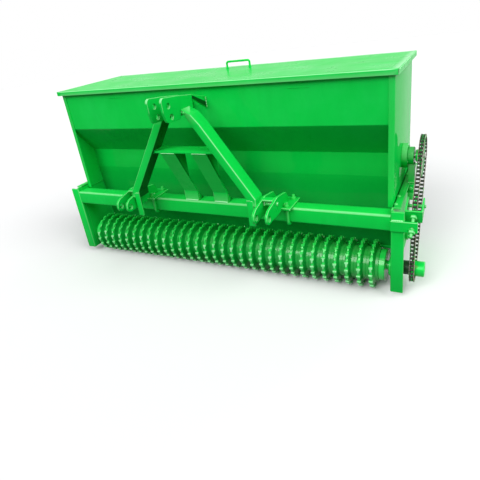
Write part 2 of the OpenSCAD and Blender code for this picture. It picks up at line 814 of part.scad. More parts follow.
front_beam();
rear_beam();
side_plate_right();
side_plate_left();
hopper_front();
hopper_rear();
hopper_end_right();
hopper_end_left();
hopper_floor();
seed_cups();
lid_hinge_leaves();
mast_leg_right();
mast_leg_left();
mast_ears();
mast_crossbar();
mast_braces();
clevis_right();
clevis_left();
clamps_right();
clamps_left();
hub_right();
hub_left();
hub_support();
tensioner_bar();
tensioner_yoke();
drive_chain();
bearings_front();
bearings_rear();
scraper_bar();
lid_panel();
lid_lips();
lid_handle();
front_rings();
front_shaft();
roller_sprocket();
rear_rings();
rear_shaft();
metering_shaft();
metering_sprocket();
idler_sprocket();
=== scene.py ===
# Seed drill with two toothed-ring rollers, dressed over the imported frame. Metres, +Z up.
import bpy
import json
import math
import numpy as np
from mathutils import Matrix, Vector


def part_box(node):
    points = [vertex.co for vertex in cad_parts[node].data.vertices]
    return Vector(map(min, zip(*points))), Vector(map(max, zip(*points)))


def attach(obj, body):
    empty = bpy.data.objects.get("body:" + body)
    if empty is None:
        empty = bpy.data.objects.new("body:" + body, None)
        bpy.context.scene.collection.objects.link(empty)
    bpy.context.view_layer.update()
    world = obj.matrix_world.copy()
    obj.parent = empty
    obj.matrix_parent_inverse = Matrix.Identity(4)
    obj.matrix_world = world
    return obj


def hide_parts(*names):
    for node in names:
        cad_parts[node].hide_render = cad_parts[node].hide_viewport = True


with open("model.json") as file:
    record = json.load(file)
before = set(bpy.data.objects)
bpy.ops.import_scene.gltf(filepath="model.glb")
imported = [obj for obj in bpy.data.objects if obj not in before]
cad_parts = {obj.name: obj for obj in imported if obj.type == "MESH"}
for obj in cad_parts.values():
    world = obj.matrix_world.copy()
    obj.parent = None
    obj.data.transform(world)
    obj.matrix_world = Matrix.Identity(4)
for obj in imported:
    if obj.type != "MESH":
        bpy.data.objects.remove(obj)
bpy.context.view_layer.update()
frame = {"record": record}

# sizes below are the drawing's millimetres; its zero is the middle of the front beam, 340 mm behind its face
metre = 0.001
beamLow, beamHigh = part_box("front_beam")
zero = np.array([(beamLow.x + beamHigh.x) / 2, beamLow.y + 340 * metre, 0.0])

# camera, fitted to the beam ends, the lid corners and the ring tips
view = {
    "place": (1.23774, -2.14604, 1.31963),                   # metres from the drawing's zero
    "yaw": 29.41938, "pitch": -23.78945, "roll": -8.08573,   # degrees: to the left, up, leaning
    "focal": 433.8276, "picture": 480.0,                     # both in pixels
    "centreX": 242.9824, "centreY": 210.3371,                # where the lens axis meets the picture
    "sensor": 36.0, "farthest": 60.0,                        # millimetres, metres
}


def newObject(name, data):
    obj = bpy.data.objects.new(name, data)
    bpy.context.scene.collection.objects.link(obj)
    return obj


def addCamera(c):
    yaw, pitch, roll = (math.radians(c[k]) for k in ("yaw", "pitch", "roll"))
    ahead = Vector((-math.sin(yaw) * math.cos(pitch), math.cos(yaw) * math.cos(pitch), math.sin(pitch)))
    right = Vector((math.cos(yaw), math.sin(yaw), 0.0))
    up = right.cross(ahead)
    side = right * math.cos(roll) + up * math.sin(roll)
    top = up * math.cos(roll) - right * math.sin(roll)
    cam = bpy.data.cameras.new("photoCamera")
    cam.sensor_width = c["sensor"]
    cam.lens = c["sensor"] * c["focal"] / c["picture"]
    cam.shift_x = (c["picture"] / 2 - c["centreX"]) / c["picture"]
    cam.shift_y = (c["centreY"] - c["picture"] / 2) / c["picture"]
    cam.clip_end = c["farthest"]
    place = Matrix((side, top, -ahead)).transposed().to_4x4()
    place.translation = Vector(zero + c["place"])
    obj = newObject("photoCamera", cam)
    obj.matrix_world = place
    bpy.context.scene.camera = obj


addCamera(view)
print("camera placed")


# a part is (points, quads, caps): caps are the flat faces with more or fewer than four corners
def cells(number):
    # every four neighbours of a numbered grid make a quad
    return np.stack([number[:-1, :-1], number[1:, :-1], number[1:, 1:], number[:-1, 1:]], -1).reshape(-1, 4)


def grid(surface, closeU=False, closeV=False, capU=False):
    # points s[i, j]; a closed direction joins its last row to its first; capU closes the end rows flat
    rows, cols = surface.shape[:2]
    number = np.arange(rows * cols).reshape(rows, cols)
    caps = [number[0], number[-1][::-1]] if capU else []
    if closeU:
        number = np.vstack([number, number[:1]])
    if closeV:
        number = np.hstack([number, number[:, :1]])
    return outward(surface.reshape(-1, 3).astype(float), cells(number), caps)


def copies(points):
    # points[copy, row, point]: each copy is a closed grid with the faces of the first
    number, rows, around = points.shape[:3]
    _, quads, caps = grid(points[0], closeV=True, capU=True)
    starts = np.arange(number) * rows * around
    quads = (quads[None] + starts[:, None, None]).reshape(-1, 4)
    return points.reshape(-1, 3), quads, [c + s for s in starts for c in caps]


def outward(points, quads, caps):
    # volume of a closed shape = a sixth of the sum of a . (b x c) over its triangles;
    # one with a negative volume is turned round
    p = points - points.mean(0)
    fans = [np.stack([np.full(len(c) - 2, c[0]), c[1:-1], c[2:]], -1) for c in caps]
    t = np.vstack([quads[:, [0, 1, 2]], quads[:, [0, 2, 3]]] + fans)
    volume = np.einsum("ij,ij->i", p[t[:, 0]], np.cross(p[t[:, 1]], p[t[:, 2]])).sum()
    if volume < 0:
        quads, caps = quads[:, ::-1], [c[::-1] for c in caps]
    return points, quads, caps


def moved(part, matrix=None, offset=(0, 0, 0)):
    # each point times a 3 by 3 matrix, plus an offset; a mirroring matrix turns the faces round again
    points, quads, caps = part
    if matrix is not None:
        points = points @ matrix.T
        if np.linalg.det(matrix) < 0:
            quads, caps = quads[:, ::-1], [c[::-1] for c in caps]
    return points + np.asarray(offset, float), quads, caps


mirrorX = np.diag((-1.0, 1.0, 1.0))

sharpEdge = 38.0   # degrees
# the painted highlight, a light line painted on the edges that face one way: that way;
# where bend and facing start to count, and over what width
paintedHighlightEdges = {"way": (0.25, -0.65, 0.72), "bend": (0.004, 0.02), "facing": (0.45, 0.35)}


def fetch(items, key, count, kind=float):
    values = np.zeros(count, kind)
    items.foreach_get(key, values)
    return values


def paintedHighlightShare(mesh, e):
    # 1 minus the length of the mean of the normals round a point, each counted by its face's area,
    # is 0 on and beside a flat face and grows with the bend of an edge;
    # it counts where that mean faces the way of the painted highlight
    count = len(mesh.polygons)
    normals, area = fetch(mesh.polygons, "normal", count * 3), fetch(mesh.polygons, "area", count)
    sizes = fetch(mesh.polygons, "loop_total", count, np.int32)
    corners = fetch(mesh.loops, "vertex_index", len(mesh.loops), np.int32)
    each = np.repeat(normals.reshape(-1, 3) * area[:, None], sizes, axis=0)
    mean = np.stack([np.bincount(corners, each[:, k], len(mesh.vertices)) for k in range(3)], -1)
    mean /= np.maximum(np.bincount(corners, np.repeat(area, sizes), len(mesh.vertices)), 1e-12)[:, None]
    length = np.linalg.norm(mean, axis=1)
    way = (mean @ np.array(e["way"])) / np.maximum(length, 1e-6)
    bend = np.clip((1 - length - e["bend"][0]) / e["bend"][1], 0, 1)
    return bend * np.clip((way - e["facing"][0]) / e["facing"][1], 0, 1)


def makePiece(name, parts, node, body="frame", look="paint", slot="green_paint",
              values=None, shade=None, gleam=None):
    # joins the parts, each one's numbers moved on by the points before it, and puts them into one mesh;
    # shade(x, y, z) says from 0 to 1 how much painted shade darkens the colour at a point of the drawing;
    # the last argument is the strength of the painted highlight, a light line on the edges that face forwards
    # and up
    starts = np.cumsum([0] + [len(p[0]) for p in parts[:-1]])
    points = np.concatenate([p[0] for p in parts])
    values = dict(values or {})
    if shade is not None:
        values["shade"] = shade(*points.T)
    quads = np.concatenate([p[1] + s for p, s in zip(parts, starts)])
    caps = [c + s for p, s in zip(parts, starts) for c in p[2]]
    loops = np.concatenate([quads.ravel()] + caps).astype(np.int32)
    sizes = np.array([4] * len(quads) + [len(c) for c in caps], np.int32)
    mesh = bpy.data.meshes.new(name)
    mesh.vertices.add(len(points))
    mesh.vertices.foreach_set("co", (points * metre + zero).astype(np.float32).ravel())
    mesh.loops.add(len(loops))
    mesh.loops.foreach_set("vertex_index", loops)
    mesh.polygons.add(len(sizes))
    mesh.polygons.foreach_set("loop_start", (np.cumsum(sizes) - sizes).astype(np.int32))
    mesh.polygons.foreach_set("loop_total", sizes)
    mesh.update(calc_edges=True)
    mesh.validate()
    mesh.polygons.foreach_set("use_smooth", np.ones(len(mesh.polygons), bool))
    mesh.set_sharp_from_angle(angle=math.radians(sharpEdge))
    # the painted highlight, strongest on bent edges that face forwards and up
    if gleam is not None:
        values["gleam"] = gleam * paintedHighlightShare(mesh, paintedHighlightEdges)
    for key, column in values.items():
        mesh.attributes.new(key, "FLOAT", "POINT").data.foreach_set("value", np.asarray(column, np.float32))
    mesh.materials.append(finish[look])
    obj = newObject(name, mesh)
    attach(obj, body)
    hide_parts(node)


def makeSide(side, name, parts, node, **looks):
    # the left piece is the right one's mirror image; the star in a name stands for the side
    matrix = mirrorX if side == "Left" else None
    name, node = name.replace("*", side), node.replace("*", side.lower())
    makePiece(name, [moved(p, matrix) for p in parts], node, **looks)


def makePair(*piece, **looks):
    # a piece for each side
    for side in ("Right", "Left"):
        makeSide(side, *piece, **looks)


def rounded(corners, radius, steps=4, closed=True):
    # each corner becomes an arc tangent to both its edges:
    # its centre lies on the bisector, radius / sin(half the angle) away
    p = np.asarray(corners, float)
    back, ahead = np.roll(p, 1, 0) - p, np.roll(p, -1, 0) - p
    backLong, aheadLong = np.linalg.norm(back, axis=1), np.linalg.norm(ahead, axis=1)
    back, ahead = back / backLong[:, None], ahead / aheadLong[:, None]
    half = np.arccos(np.clip((back * ahead).sum(1), -0.999999, 0.999999)) / 2
    r = np.minimum(np.broadcast_to(radius, len(p)), 0.48 * np.minimum(backLong, aheadLong) * np.tan(half))
    bisector = (back + ahead) / np.linalg.norm(back + ahead, axis=1)[:, None]
    centre = p + bisector * (r / np.sin(half))[:, None]
    first, last = (p + way * (r / np.tan(half))[:, None] - centre for way in (back, ahead))
    sweep = np.maximum(math.pi - 2 * half, 1e-4)[:, None, None]
    t = np.linspace(0, 1, steps)[None, :, None]
    spokes = np.sin((1 - t) * sweep) * first[:, None] + np.sin(t * sweep) * last[:, None]
    arcs = centre[:, None] + spokes / np.sin(sweep)
    if closed:
        return arcs.reshape(-1, p.shape[1])
    return np.vstack([p[:1], arcs[1:-1].reshape(-1, p.shape[1]), p[-1:]])


def oblong(x0, x1, y0, y1):
    # the corners of a rectangle, in turn
    return [(x0, y0), (x1, y0), (x1, y1), (x0, y1)]


def circle(centre, radius, count=32):
    # centre + radius * (cos, sin) at equal angles
    a = np.arange(count) * 2 * math.pi / count
    return np.stack([centre[0] + radius * np.cos(a), centre[1] + radius * np.sin(a)], -1)


def hole(centre, radius, count=32):
    # a circle the other way round, which the filled curve leaves open
    return circle(centre, radius, count)[::-1]


def strip(path, thick):
    # a line made a closed outline: half the thickness to each side along its normals
    d = np.gradient(path, axis=0)
    n = np.stack([-d[:, 1], d[:, 0]], -1) / np.linalg.norm(d, axis=1)[:, None]
    return np.vstack([path + n * thick / 2, (path - n * thick / 2)[::-1]])


axisOrder = {"x": (0, 1, 2), "y": (1, 0, 2), "z": (2, 0, 1)}   # where length, width and height go


def carried(loop, along, axis="x", wave=None, share=None):
    # a closed outline carried along one axis;
    # each station is drawn in to a share of it, about the outline's middle
    a, b, c = axisOrder[axis]
    share = np.ones(len(along)) if share is None else share
    flat = loop.mean(0) + share[:, None, None] * (loop - loop.mean(0))
    s = np.empty((len(along), len(loop), 3))
    s[..., a] = np.asarray(along, float)[:, None]
    s[..., b], s[..., c] = flat[..., 0], flat[..., 1]
    if wave is not None:
        s += wave(s)
    return grid(s, closeV=True, capU=True)


def bar(loop, lo, hi, axis="x", edge=1.5):
    # carried from lo to hi, the first and last stretch drawn in for a soft edge
    inset, drawn = edge * np.array([0, 0.3, 1]), edge * np.array([1, 0.3, 0, 0, 0.3, 1])
    reach = max(np.linalg.norm(loop - loop.mean(0), axis=1).min(), edge * 2)
    return carried(loop, np.concatenate([lo + inset, hi - inset[::-1]]), axis, share=1 - drawn / reach)


def block(low, high, edge=2.0):
    # a box with round edges along its longest side
    low, high = np.asarray(low, float), np.asarray(high, float)
    axis = int(np.argmax(high - low))
    a, b = [k for k in range(3) if k != axis]
    loop = rounded(oblong(low[a], high[a], low[b], high[b]), edge, 3)
    return bar(loop, low[axis], high[axis], "xyz"[axis], edge)


def turned(profile, at=(0, 0, 0), axis="x", count=48, ring=False, sides=None):
    # a profile of (length, radius) turned round an axis; ring joins its ends, else flat faces close them;
    # sides makes it a prism: the radius grows by 1 / cos of the angle from the middle of the side
    p = np.asarray(profile, float)
    count = sides * 4 if sides else count
    angle = np.arange(count) * 2 * math.pi / count
    grow = np.ones(count)
    if sides:
        step = 2 * math.pi / sides
        grow = 1 / np.cos((angle + step / 2) % step - step / 2)
    s = np.empty((len(p), count, 3))
    s[..., 0] = p[:, :1]
    s[..., 1] = p[:, 1:] * np.cos(angle) * grow
    s[..., 2] = p[:, 1:] * np.sin(angle) * grow
    s = s[..., {"x": [0, 1, 2], "y": [2, 0, 1], "z": [1, 2, 0]}[axis]]
    return grid(s + np.asarray(at, float), closeU=ring, closeV=True, capU=not ring)


def pin(x0, x1, radius, at, count, blunt=0.8):
    # a rod along X with its ends cut off at 45 degrees
    profile = [(x0, radius - blunt), (x0 + blunt, radius), (x1 - blunt, radius), (x1, radius - blunt)]
    return turned(profile, at, "x", count)


def flange(x0, x1, radius, bore, at, blunt=2.0, count=56):
    # a disc with a hole, its outer edges cut off; the profile closes on itself through the bore
    c = blunt if x1 > x0 else -blunt
    profile = [(x0, radius - blunt * 0.4), (x0 + 0.4 * c, radius), (x1 - c, radius), (x1, radius - blunt),
               (x1, bore), (x0, bore)]
    return turned(profile, at, "x", count, ring=True)


def rod(path, radius, around=12, ripple=1.0):
    # a circle carried along a path in space, its plane square to the path:
    # path + radius * (n * cos + b * sin)
    p = np.asarray(path, float)
    d = np.gradient(p, axis=0)
    d /= np.linalg.norm(d, axis=1)[:, None]
    guide = np.array([1.0, 0, 0]) if abs(d[:, 0]).max() < 0.9 else np.array([0.0, 0.3, 1.0])
    n = np.cross(d, guide)
    n /= np.linalg.norm(n, axis=1)[:, None]
    b = np.cross(d, n)
    a = (np.arange(around) * 2 * math.pi / around)[None, :, None]
    r = (radius * np.broadcast_to(ripple, len(p)))[:, None, None]
    return grid(p[:, None] + r * (n[:, None] * np.cos(a) + b[:, None] * np.sin(a)), closeV=True, capU=True)


inYZ = np.array([(0, 0, 1), (1, 0, 0), (0, 1, 0)], float)   # plate drawn as depth and height, thick along X
inXZ = np.array([(1, 0, 0), (0, 0, 1), (0, 1, 0)], float)   # plate drawn as width and height, thick along Y
inXY = np.eye(3)                                            # plate drawn as width and depth, thick along Z


def cutPlate(outlines, thick, matrix, at, edge=1.5):
    # a flat curve with its holes, filled, given its thickness and round edges, and set in place:
    # point = u * first column + v * second column + w * third column + at
    curve = bpy.data.curves.new("plate", "CURVE")
    curve.dimensions, curve.fill_mode = "2D", "BOTH"
    curve.extrude, curve.bevel_depth, curve.offset, curve.bevel_resolution = thick / 2 - edge, edge, -edge, 2
    for outline in outlines:
        spline = curve.splines.new("POLY")
        spline.points.add(len(outline) - 1)
        flat = np.zeros((len(outline), 4))
        flat[:, :2], flat[:, 3] = outline, 1.0
        spline.points.foreach_set("co", flat.ravel())
        spline.use_cyclic_u = True
    obj = newObject("plate", curve)
    mesh = bpy.data.meshes.new_from_object(obj.evaluated_get(bpy.context.evaluated_depsgraph_get()))
    points = fetch(mesh.vertices, "co", len(mesh.vertices) * 3).reshape(-1, 3)
    faces = [np.array(f.vertices) for f in mesh.polygons]
    bpy.data.objects.remove(obj)
    bpy.data.meshes.remove(mesh)
    bpy.data.curves.remove(curve)
    quads = np.array([f for f in faces if len(f) == 4]).reshape(-1, 4)
    return moved(outward(points, quads, [f for f in faces if len(f) != 4]), matrix, at)


# a hand-laid weld: its ripples' share of the size, and how far and how slowly it wanders up and down
weld = {"ripple": 0.22, "wander": 0.15, "slow": 17.0, "around": 8, "perPitch": 4}


def weldBead(start, end, size=3.0, pitch=3.2):
    # a thin rod whose radius swells once each pitch: radius = size * (1 + ripple * sin)
    start, end = np.asarray(start, float), np.asarray(end, float)
    length = np.linalg.norm(end - start)
    t = np.linspace(0, 1, max(8, int(length / pitch * weld["perPitch"])))
    path = start + (end - start) * t[:, None]
    path[:, 2] += weld["wander"] * size * np.sin(t * length / weld["slow"])
    return rod(path, size, weld["around"], 1 + weld["ripple"] * np.sin(t * length / pitch * 2 * math.pi))


def weldX(x0, x1, y, z, size=3.0, pitch=3.2):
    return weldBead((x0, y, z), (x1, y, z), size, pitch)


def weldY(y0, y1, x, z, size=3.0, pitch=3.2):
    return weldBead((x, y0, z), (x, y1, z), size, pitch)


# length over radius from the seat outwards, in shares of the bolt's size
boltForm = {"head": np.array([(0, 0.84), (0.04, 0.9), (0.5, 0.9), (0.62, 0.74)]),
            "washer": np.array([(-0.2, 1.25), (0, 1.25), (0.02, 1.18)])}


def bolt(at, axis="x", out=1, size=8.0, washer=True):
    # a hexagon head on a round washer, pointing out along the axis
    way = np.array([out, 1]) * size
    parts = [turned(boltForm["head"] * way, at, axis, sides=6)]
    if washer:
        parts.append(turned(boltForm["washer"] * way, at, axis, 20))
    return parts


def fourBolts(x, at, radius, size, out, start):
    # heads a quarter turn apart round an axis along X: y = radius * cos(angle), z = radius * sin(angle)
    turns = [math.radians(start + 90 * k) for k in range(4)]
    rim = [(x, at[1] + radius * math.cos(a), at[2] + radius * math.sin(a)) for a in turns]
    return [part for place in rim for part in bolt(place, "x", out, size)]


# colours as light: the paint's green, its lighter coat, its deep green for runs and for painted shade,
# the painted highlight on edges and the tint of its gloss; dust, metals and the near black of painted shadow
paints = {
    "green": (0.003, 0.60, 0.064), "greenPale": (0.010, 0.64, 0.088), "greenRunsAndShade": (0.001, 0.055, 0.006),
    "gleam": (0.62, 0.95, 0.68), "tint": (0.12, 0.90, 0.35), "dust": (0.42, 0.34, 0.27),
    "iron": (0.13, 0.090, 0.065), "rust": (0.26, 0.15, 0.095), "steel": (0.42, 0.43, 0.38),
    "shadowBlack": (0.020, 0.028, 0.018),
}


def feed(tree, node, inputs):
    # a signal is linked to the node's input, a constant is set on it
    for key, value in inputs.items():
        if isinstance(value, bpy.types.NodeSocket):
            tree.links.new(value, node.inputs[key])
        else:
            node.inputs[key].default_value = value
    return node


def newNode(tree, kind, inputs):
    return feed(tree, tree.nodes.new("ShaderNode" + kind), inputs)


def newMaterial(name, inputs):
    mat = bpy.data.materials.new(name)
    mat.use_nodes = True
    tree = mat.node_tree
    tree.nodes.clear()
    shader = newNode(tree, "BsdfPrincipled", inputs)
    newNode(tree, "OutputMaterial", {"Surface": shader.outputs["BSDF"]})
    return mat, tree, shader


def solid(tone):
    # a grey from 0 to 1 or a colour becomes a colour with its alpha; a signal stays as it is
    if isinstance(tone, float):
        tone = (tone, tone, tone)
    return (*tone, 1.0) if isinstance(tone, tuple) else tone


def noiseNode(tree, scale, detail=4.0, rough=0.6, stretch=(1, 1, 1)):
    coord = newNode(tree, "TexCoord", {})
    mapping = newNode(tree, "Mapping", {"Vector": coord.outputs["Object"], "Scale": stretch})
    noise = newNode(tree, "TexNoise", {
        "Vector": mapping.outputs["Vector"], "Scale": scale, "Detail": detail, "Roughness": rough})
    return noise.outputs["Fac"]


def meshValue(tree, name):
    node = newNode(tree, "Attribute", {})
    node.attribute_name = name
    return node.outputs["Fac"]


def ramp(tree, fac, stops):
    node = newNode(tree, "ValToRGB", {"Fac": fac})
    marks = node.color_ramp.elements
    while len(marks) < len(stops):
        marks.new(0.5)
    for mark, (at, tone) in zip(marks, stops):
        mark.position, mark.color = at, solid(tone)
    return node.outputs["Color"]


def maths(tree, operation, a, b):
    node = newNode(tree, "Math", {0: a, 1: b})
    node.operation, node.use_clamp = operation, True
    return node.outputs["Value"]


def bump(tree, heights):
    # heights is a list of (signal, strength, distance), laid one on the other
    under = {}
    for height, strength, distance in heights:
        node = newNode(tree, "Bump", {"Height": height, "Strength": strength, "Distance": distance, **under})
        under = {"Normal": node.outputs["Normal"]}
    return under["Normal"]


def mixColour(tree, fac, a, b):
    node = newNode(tree, "Mix", {0: fac, 6: solid(a), 7: solid(b)})
    node.data_type = "RGBA"
    return node.outputs[2]


def facingUp(tree):
    # the normal's height, from -1 to 1
    geometry = newNode(tree, "NewGeometry", {})
    dot = newNode(tree, "VectorMath", {0: geometry.outputs["Normal"], 1: (0, 0, 1)})
    dot.operation = "DOT_PRODUCT"
    return dot.outputs["Value"]


# how fine each pattern is: noise scale per metre
fine = {"drift": 2.6, "runs": 16.0, "dust": 34.0, "sheen": 7.0, "peel": 420.0, "wave": 22.0,   # paint
        "rust": 60.0, "overspray": 11.0, "grain": 260.0,                                       # castings
        "stain": 45.0, "dull": 90.0, "rolled": 300.0}                                          # steel


def sprayPaint(name, settle=0.02, coat=(0.07, 0.05), level=0.03, peel=0.10):
    # thick oil paint over a rolled sheet: slow drift of tone, fine orange peel, dust on what faces up,
    # with painted shade where the mesh's "shade" value says so and a painted highlight on the edges the mesh
    # marks
    mat, tree, shader = newMaterial(name, {
        "Coat Weight": coat[0], "Coat Roughness": coat[1],
        "Specular IOR Level": level, "Specular Tint": solid(paints["tint"])})
    colour = ramp(tree, noiseNode(tree, fine["drift"], 5.0),
                  [(0.30, paints["green"]), (0.50, paints["green"]), (0.72, paints["greenPale"])])
    runs = ramp(tree, noiseNode(tree, fine["runs"], 4.0, 0.6, (1, 1, 0.25)), [(0.42, 0.0), (0.80, 0.08)])
    colour = mixColour(tree, runs, colour, paints["greenRunsAndShade"])
    # painted shade
    colour = mixColour(tree, meshValue(tree, "shade"), colour, paints["greenRunsAndShade"])
    # painted highlight on the edges
    colour = mixColour(tree, meshValue(tree, "gleam"), colour, paints["gleam"])
    up = ramp(tree, facingUp(tree), [(0.30, 0.0), (0.95, settle)])
    patchy = ramp(tree, noiseNode(tree, fine["dust"], 6.0, 0.7), [(0.35, 0.15), (0.70, 1.0)])
    colour = mixColour(tree, maths(tree, "MULTIPLY", up, patchy), colour, paints["dust"])
    skin = [(noiseNode(tree, fine["peel"], 2.0), peel, 0.0006),
            (noiseNode(tree, fine["wave"], 3.0), peel / 2, 0.003)]
    feed(tree, shader, {
        "Base Color": colour, "Normal": bump(tree, skin),
        "Roughness": ramp(tree, noiseNode(tree, fine["sheen"], 5.0), [(0.3, 0.24), (0.75, 0.40)])})
    return mat


def castIron(name, metal, paint, share):
    # rough castings with spray paint over part of them, darkened near black by painted shade where the mesh's
    # "shade" value says so
    mat, tree, shader = newMaterial(name, {"Metallic": 0.15, "Specular IOR Level": 0.25})
    rusty = ramp(tree, noiseNode(tree, fine["rust"], 6.0), [(0.35, metal), (0.70, paints["rust"])])
    sprayed = ramp(tree, noiseNode(tree, fine["overspray"], 6.0, 0.65),
                   [(share - 0.05, 1.0), (share + 0.08, 0.0)])
    colour = mixColour(tree, meshValue(tree, "shade"), mixColour(tree, sprayed, rusty, paint), paints["shadowBlack"])
    feed(tree, shader, {
        "Base Color": colour, "Roughness": ramp(tree, sprayed, [(0.0, 0.62), (1.0, 0.32)]),
        "Normal": bump(tree, [(noiseNode(tree, fine["grain"], 5.0), 0.35, 0.0010)])})
    return mat


def bareSteel(name, metal, rough):
    # turned or rolled steel with oil stains
    mat, tree, shader = newMaterial(name, {"Metallic": 0.85})
    dull = tuple(0.75 * c for c in metal)
    stain = noiseNode(tree, fine["stain"], 6.0, 0.7)
    colour = ramp(tree, stain, [(0.35, metal), (0.60, dull), (0.80, paints["rust"])])
    feed(tree, shader, {
        "Base Color": colour,
        "Roughness": ramp(tree, noiseNode(tree, fine["dull"], 4.0), [(0.3, rough), (0.8, rough + 0.2)]),
        "Normal": bump(tree, [(noiseNode(tree, fine["rolled"], 3.0, 0.6, (0.1, 1, 1)), 0.2, 0.0004)])})
    return mat


finish = {
    "paint": sprayPaint("paintGreen"),
    "rings": sprayPaint("ringPaint", 0.10, (0.60, 0.12)),
    "panel": sprayPaint("panelPaint", 0.0, (0.36, 0.02), 0.0, 0.01),
    "collar": sprayPaint("collarPaint", 0.05, (0.70, 0.10)),
    "iron": castIron("sprayedIron", paints["iron"], paints["green"], 0.62),
    "chain": castIron("chainSteel", paints["steel"], paints["greenPale"], 0.40),
    "steel": bareSteel("turnedSteel", paints["steel"], 0.30),
}
finishOfSlot = {"green_paint": "paint", "painted_rings": "rings", "dark_iron": "iron",
                "oiled_steel": "chain", "bare_steel": "steel"}
for part in frame["record"]["subparts"]:
    obj = bpy.data.objects.get(part["node"])
    if obj is not None and obj.type == "MESH":
        obj.data.materials.clear()
        obj.data.materials.append(finish[finishOfSlot[part["material_slot"]]])
print("materials ready and on the frame's nodes")

rings = {
    "pitch": 58.0, "teeth": 18, "turn": 7.3,         # degrees that each ring is turned by from the last
    "rimBelowTip": 9.0, "rimHalf": 5.0, "footHalf": 15.0,
    "hollow": 1.7, "groove": 1.2, "bore": 22.5, "around": 90,
    "front": {"count": 31, "tip": 121.0, "drum": 84.0, "y": -241.0, "z": 121.0},
    "rear": {"count": 30, "tip": 105.0, "drum": 74.0, "y": 172.0, "z": 105.0},
    "barWide": 19.0, "barLong": 9.0, "stemWide": 10.5, "stemLong": 17.0,
    "toothRoot": 4.0, "toothTop": 0.78, "slope": 2.2,
    "shade": 0.45, "gleam": 0.45, "gleamTop": 0.475,   # painted shade on the drums, a painted highlight on the teeth up to this share of the ring's height
}


def ringProfile(r, rim, drum):
    # one ring, length over radius: drum, hollow flank, rim, and back;
    # the flank's half width falls as (1 - height) ** hollow
    t = np.linspace(0, 1, 6)
    crest, p, g = r["rimHalf"] + r["groove"], r["pitch"] / 2, r["groove"]
    half = crest + (r["footHalf"] - crest) * (1 - t) ** r["hollow"]
    flank = np.stack([-half, drum + (rim - 1.4 - drum) * t], -1)
    first = np.vstack([[(-p, drum - g), (-p + g, drum)], flank, [(-r["rimHalf"] + 0.4, rim)]])
    return np.vstack([first, first[::-1] * (-1, 1)])


def toothShape(r):
    # seen from outside, a T: a bar across the rim and a stem behind it, as (along the shaft, round the rim)
    b, s, y = r["barWide"] / 2, r["stemWide"] / 2, r["barLong"] / 2
    end, low, narrow = -y - r["stemLong"], -y - 1, s * 0.85
    return np.array([(-b, y), (b, y), (b, -y), (s, low), (narrow, end), (-narrow, end), (-s, low), (-b, -y)])


def ringTeeth(r, places, phases, rim, tip):
    # every tooth is the same three rows of the T, the top one smaller, wrapped round the rim:
    # a point stands at angle + round / radius, at radius rim + height
    shape = toothShape(r)
    middle = shape.mean(0)
    angle = np.radians((phases[:, None] + np.arange(r["teeth"])[None, :] * 360.0 / r["teeth"]).ravel())
    along = np.repeat(places, r["teeth"])
    points = np.empty((len(angle), 3, len(shape), 3))
    rows = [(1.0, rim - r["toothRoot"]), (1.0, tip - r["slope"]), (r["toothTop"], tip)]
    for k, (share, radius) in enumerate(rows):
        flat = middle + (shape - middle) * share
        sink = np.where((flat[:, 1] < -r["barLong"]) & (k > 0), r["slope"], 0.0)   # the stem slopes down
        a = angle[:, None] + flat[None, :, 1] / rim
        points[:, k, :, 0] = along[:, None] + flat[None, :, 0]
        points[:, k, :, 1] = -(radius - sink) * np.cos(a)
        points[:, k, :, 2] = (radius - sink) * np.sin(a)
    return copies(points)


def addRings(r, which):
    row = r[which]
    rim = row["tip"] - r["rimBelowTip"]
    places = (np.arange(row["count"]) - (row["count"] - 1) / 2) * r["pitch"]
    outer = ringProfile(r, rim, row["drum"])[None] + np.stack([places, places * 0], -1)[:, None]
    outer = outer.reshape(-1, 2)
    bore = [(outer[-1, 0], r["bore"]), (outer[0, 0], r["bore"])]
    drum = turned(np.vstack([outer, bore]), count=r["around"], ring=True)
    teeth = ringTeeth(r, places, np.arange(row["count"]) * r["turn"], rim, row["tip"])
    points = np.concatenate([drum[0], teeth[0]])
    radius = np.hypot(points[:, 1], points[:, 2])
    # painted shade on the drums and flanks between the rings, a painted highlight on the teeth below a height
    paintedDark = r["shade"] * (radius < rim - 1.5)
    toothHighlight = r["gleam"] * (radius > rim + 1) * (points[:, 2] / radius < r["gleamTop"])
    at = (0, row["y"], row["z"])
    makePiece(which + "_ringsCast", [moved(drum, offset=at), moved(teeth, offset=at)], which + "_rings",
              which + "_roller", "rings", "painted_rings", values={"shade": paintedDark}, gleam=toothHighlight)


for which in ("front", "rear"):
    addRings(rings, which)
print("toothed rings cast")

frameWork = {
    "half": 958.0, "beamY": -340.0, "beamZ": 440.0, "beam": 80.0, "rearY": 300.0, "rear": 60.0,
    "postWide": 58.0, "postDeep": 30.0, "plate": 8.0, "plateLow": 36.0, "plateTop": 465.0, "rail": 38.0,
    "shaftHole": 31.0,
}


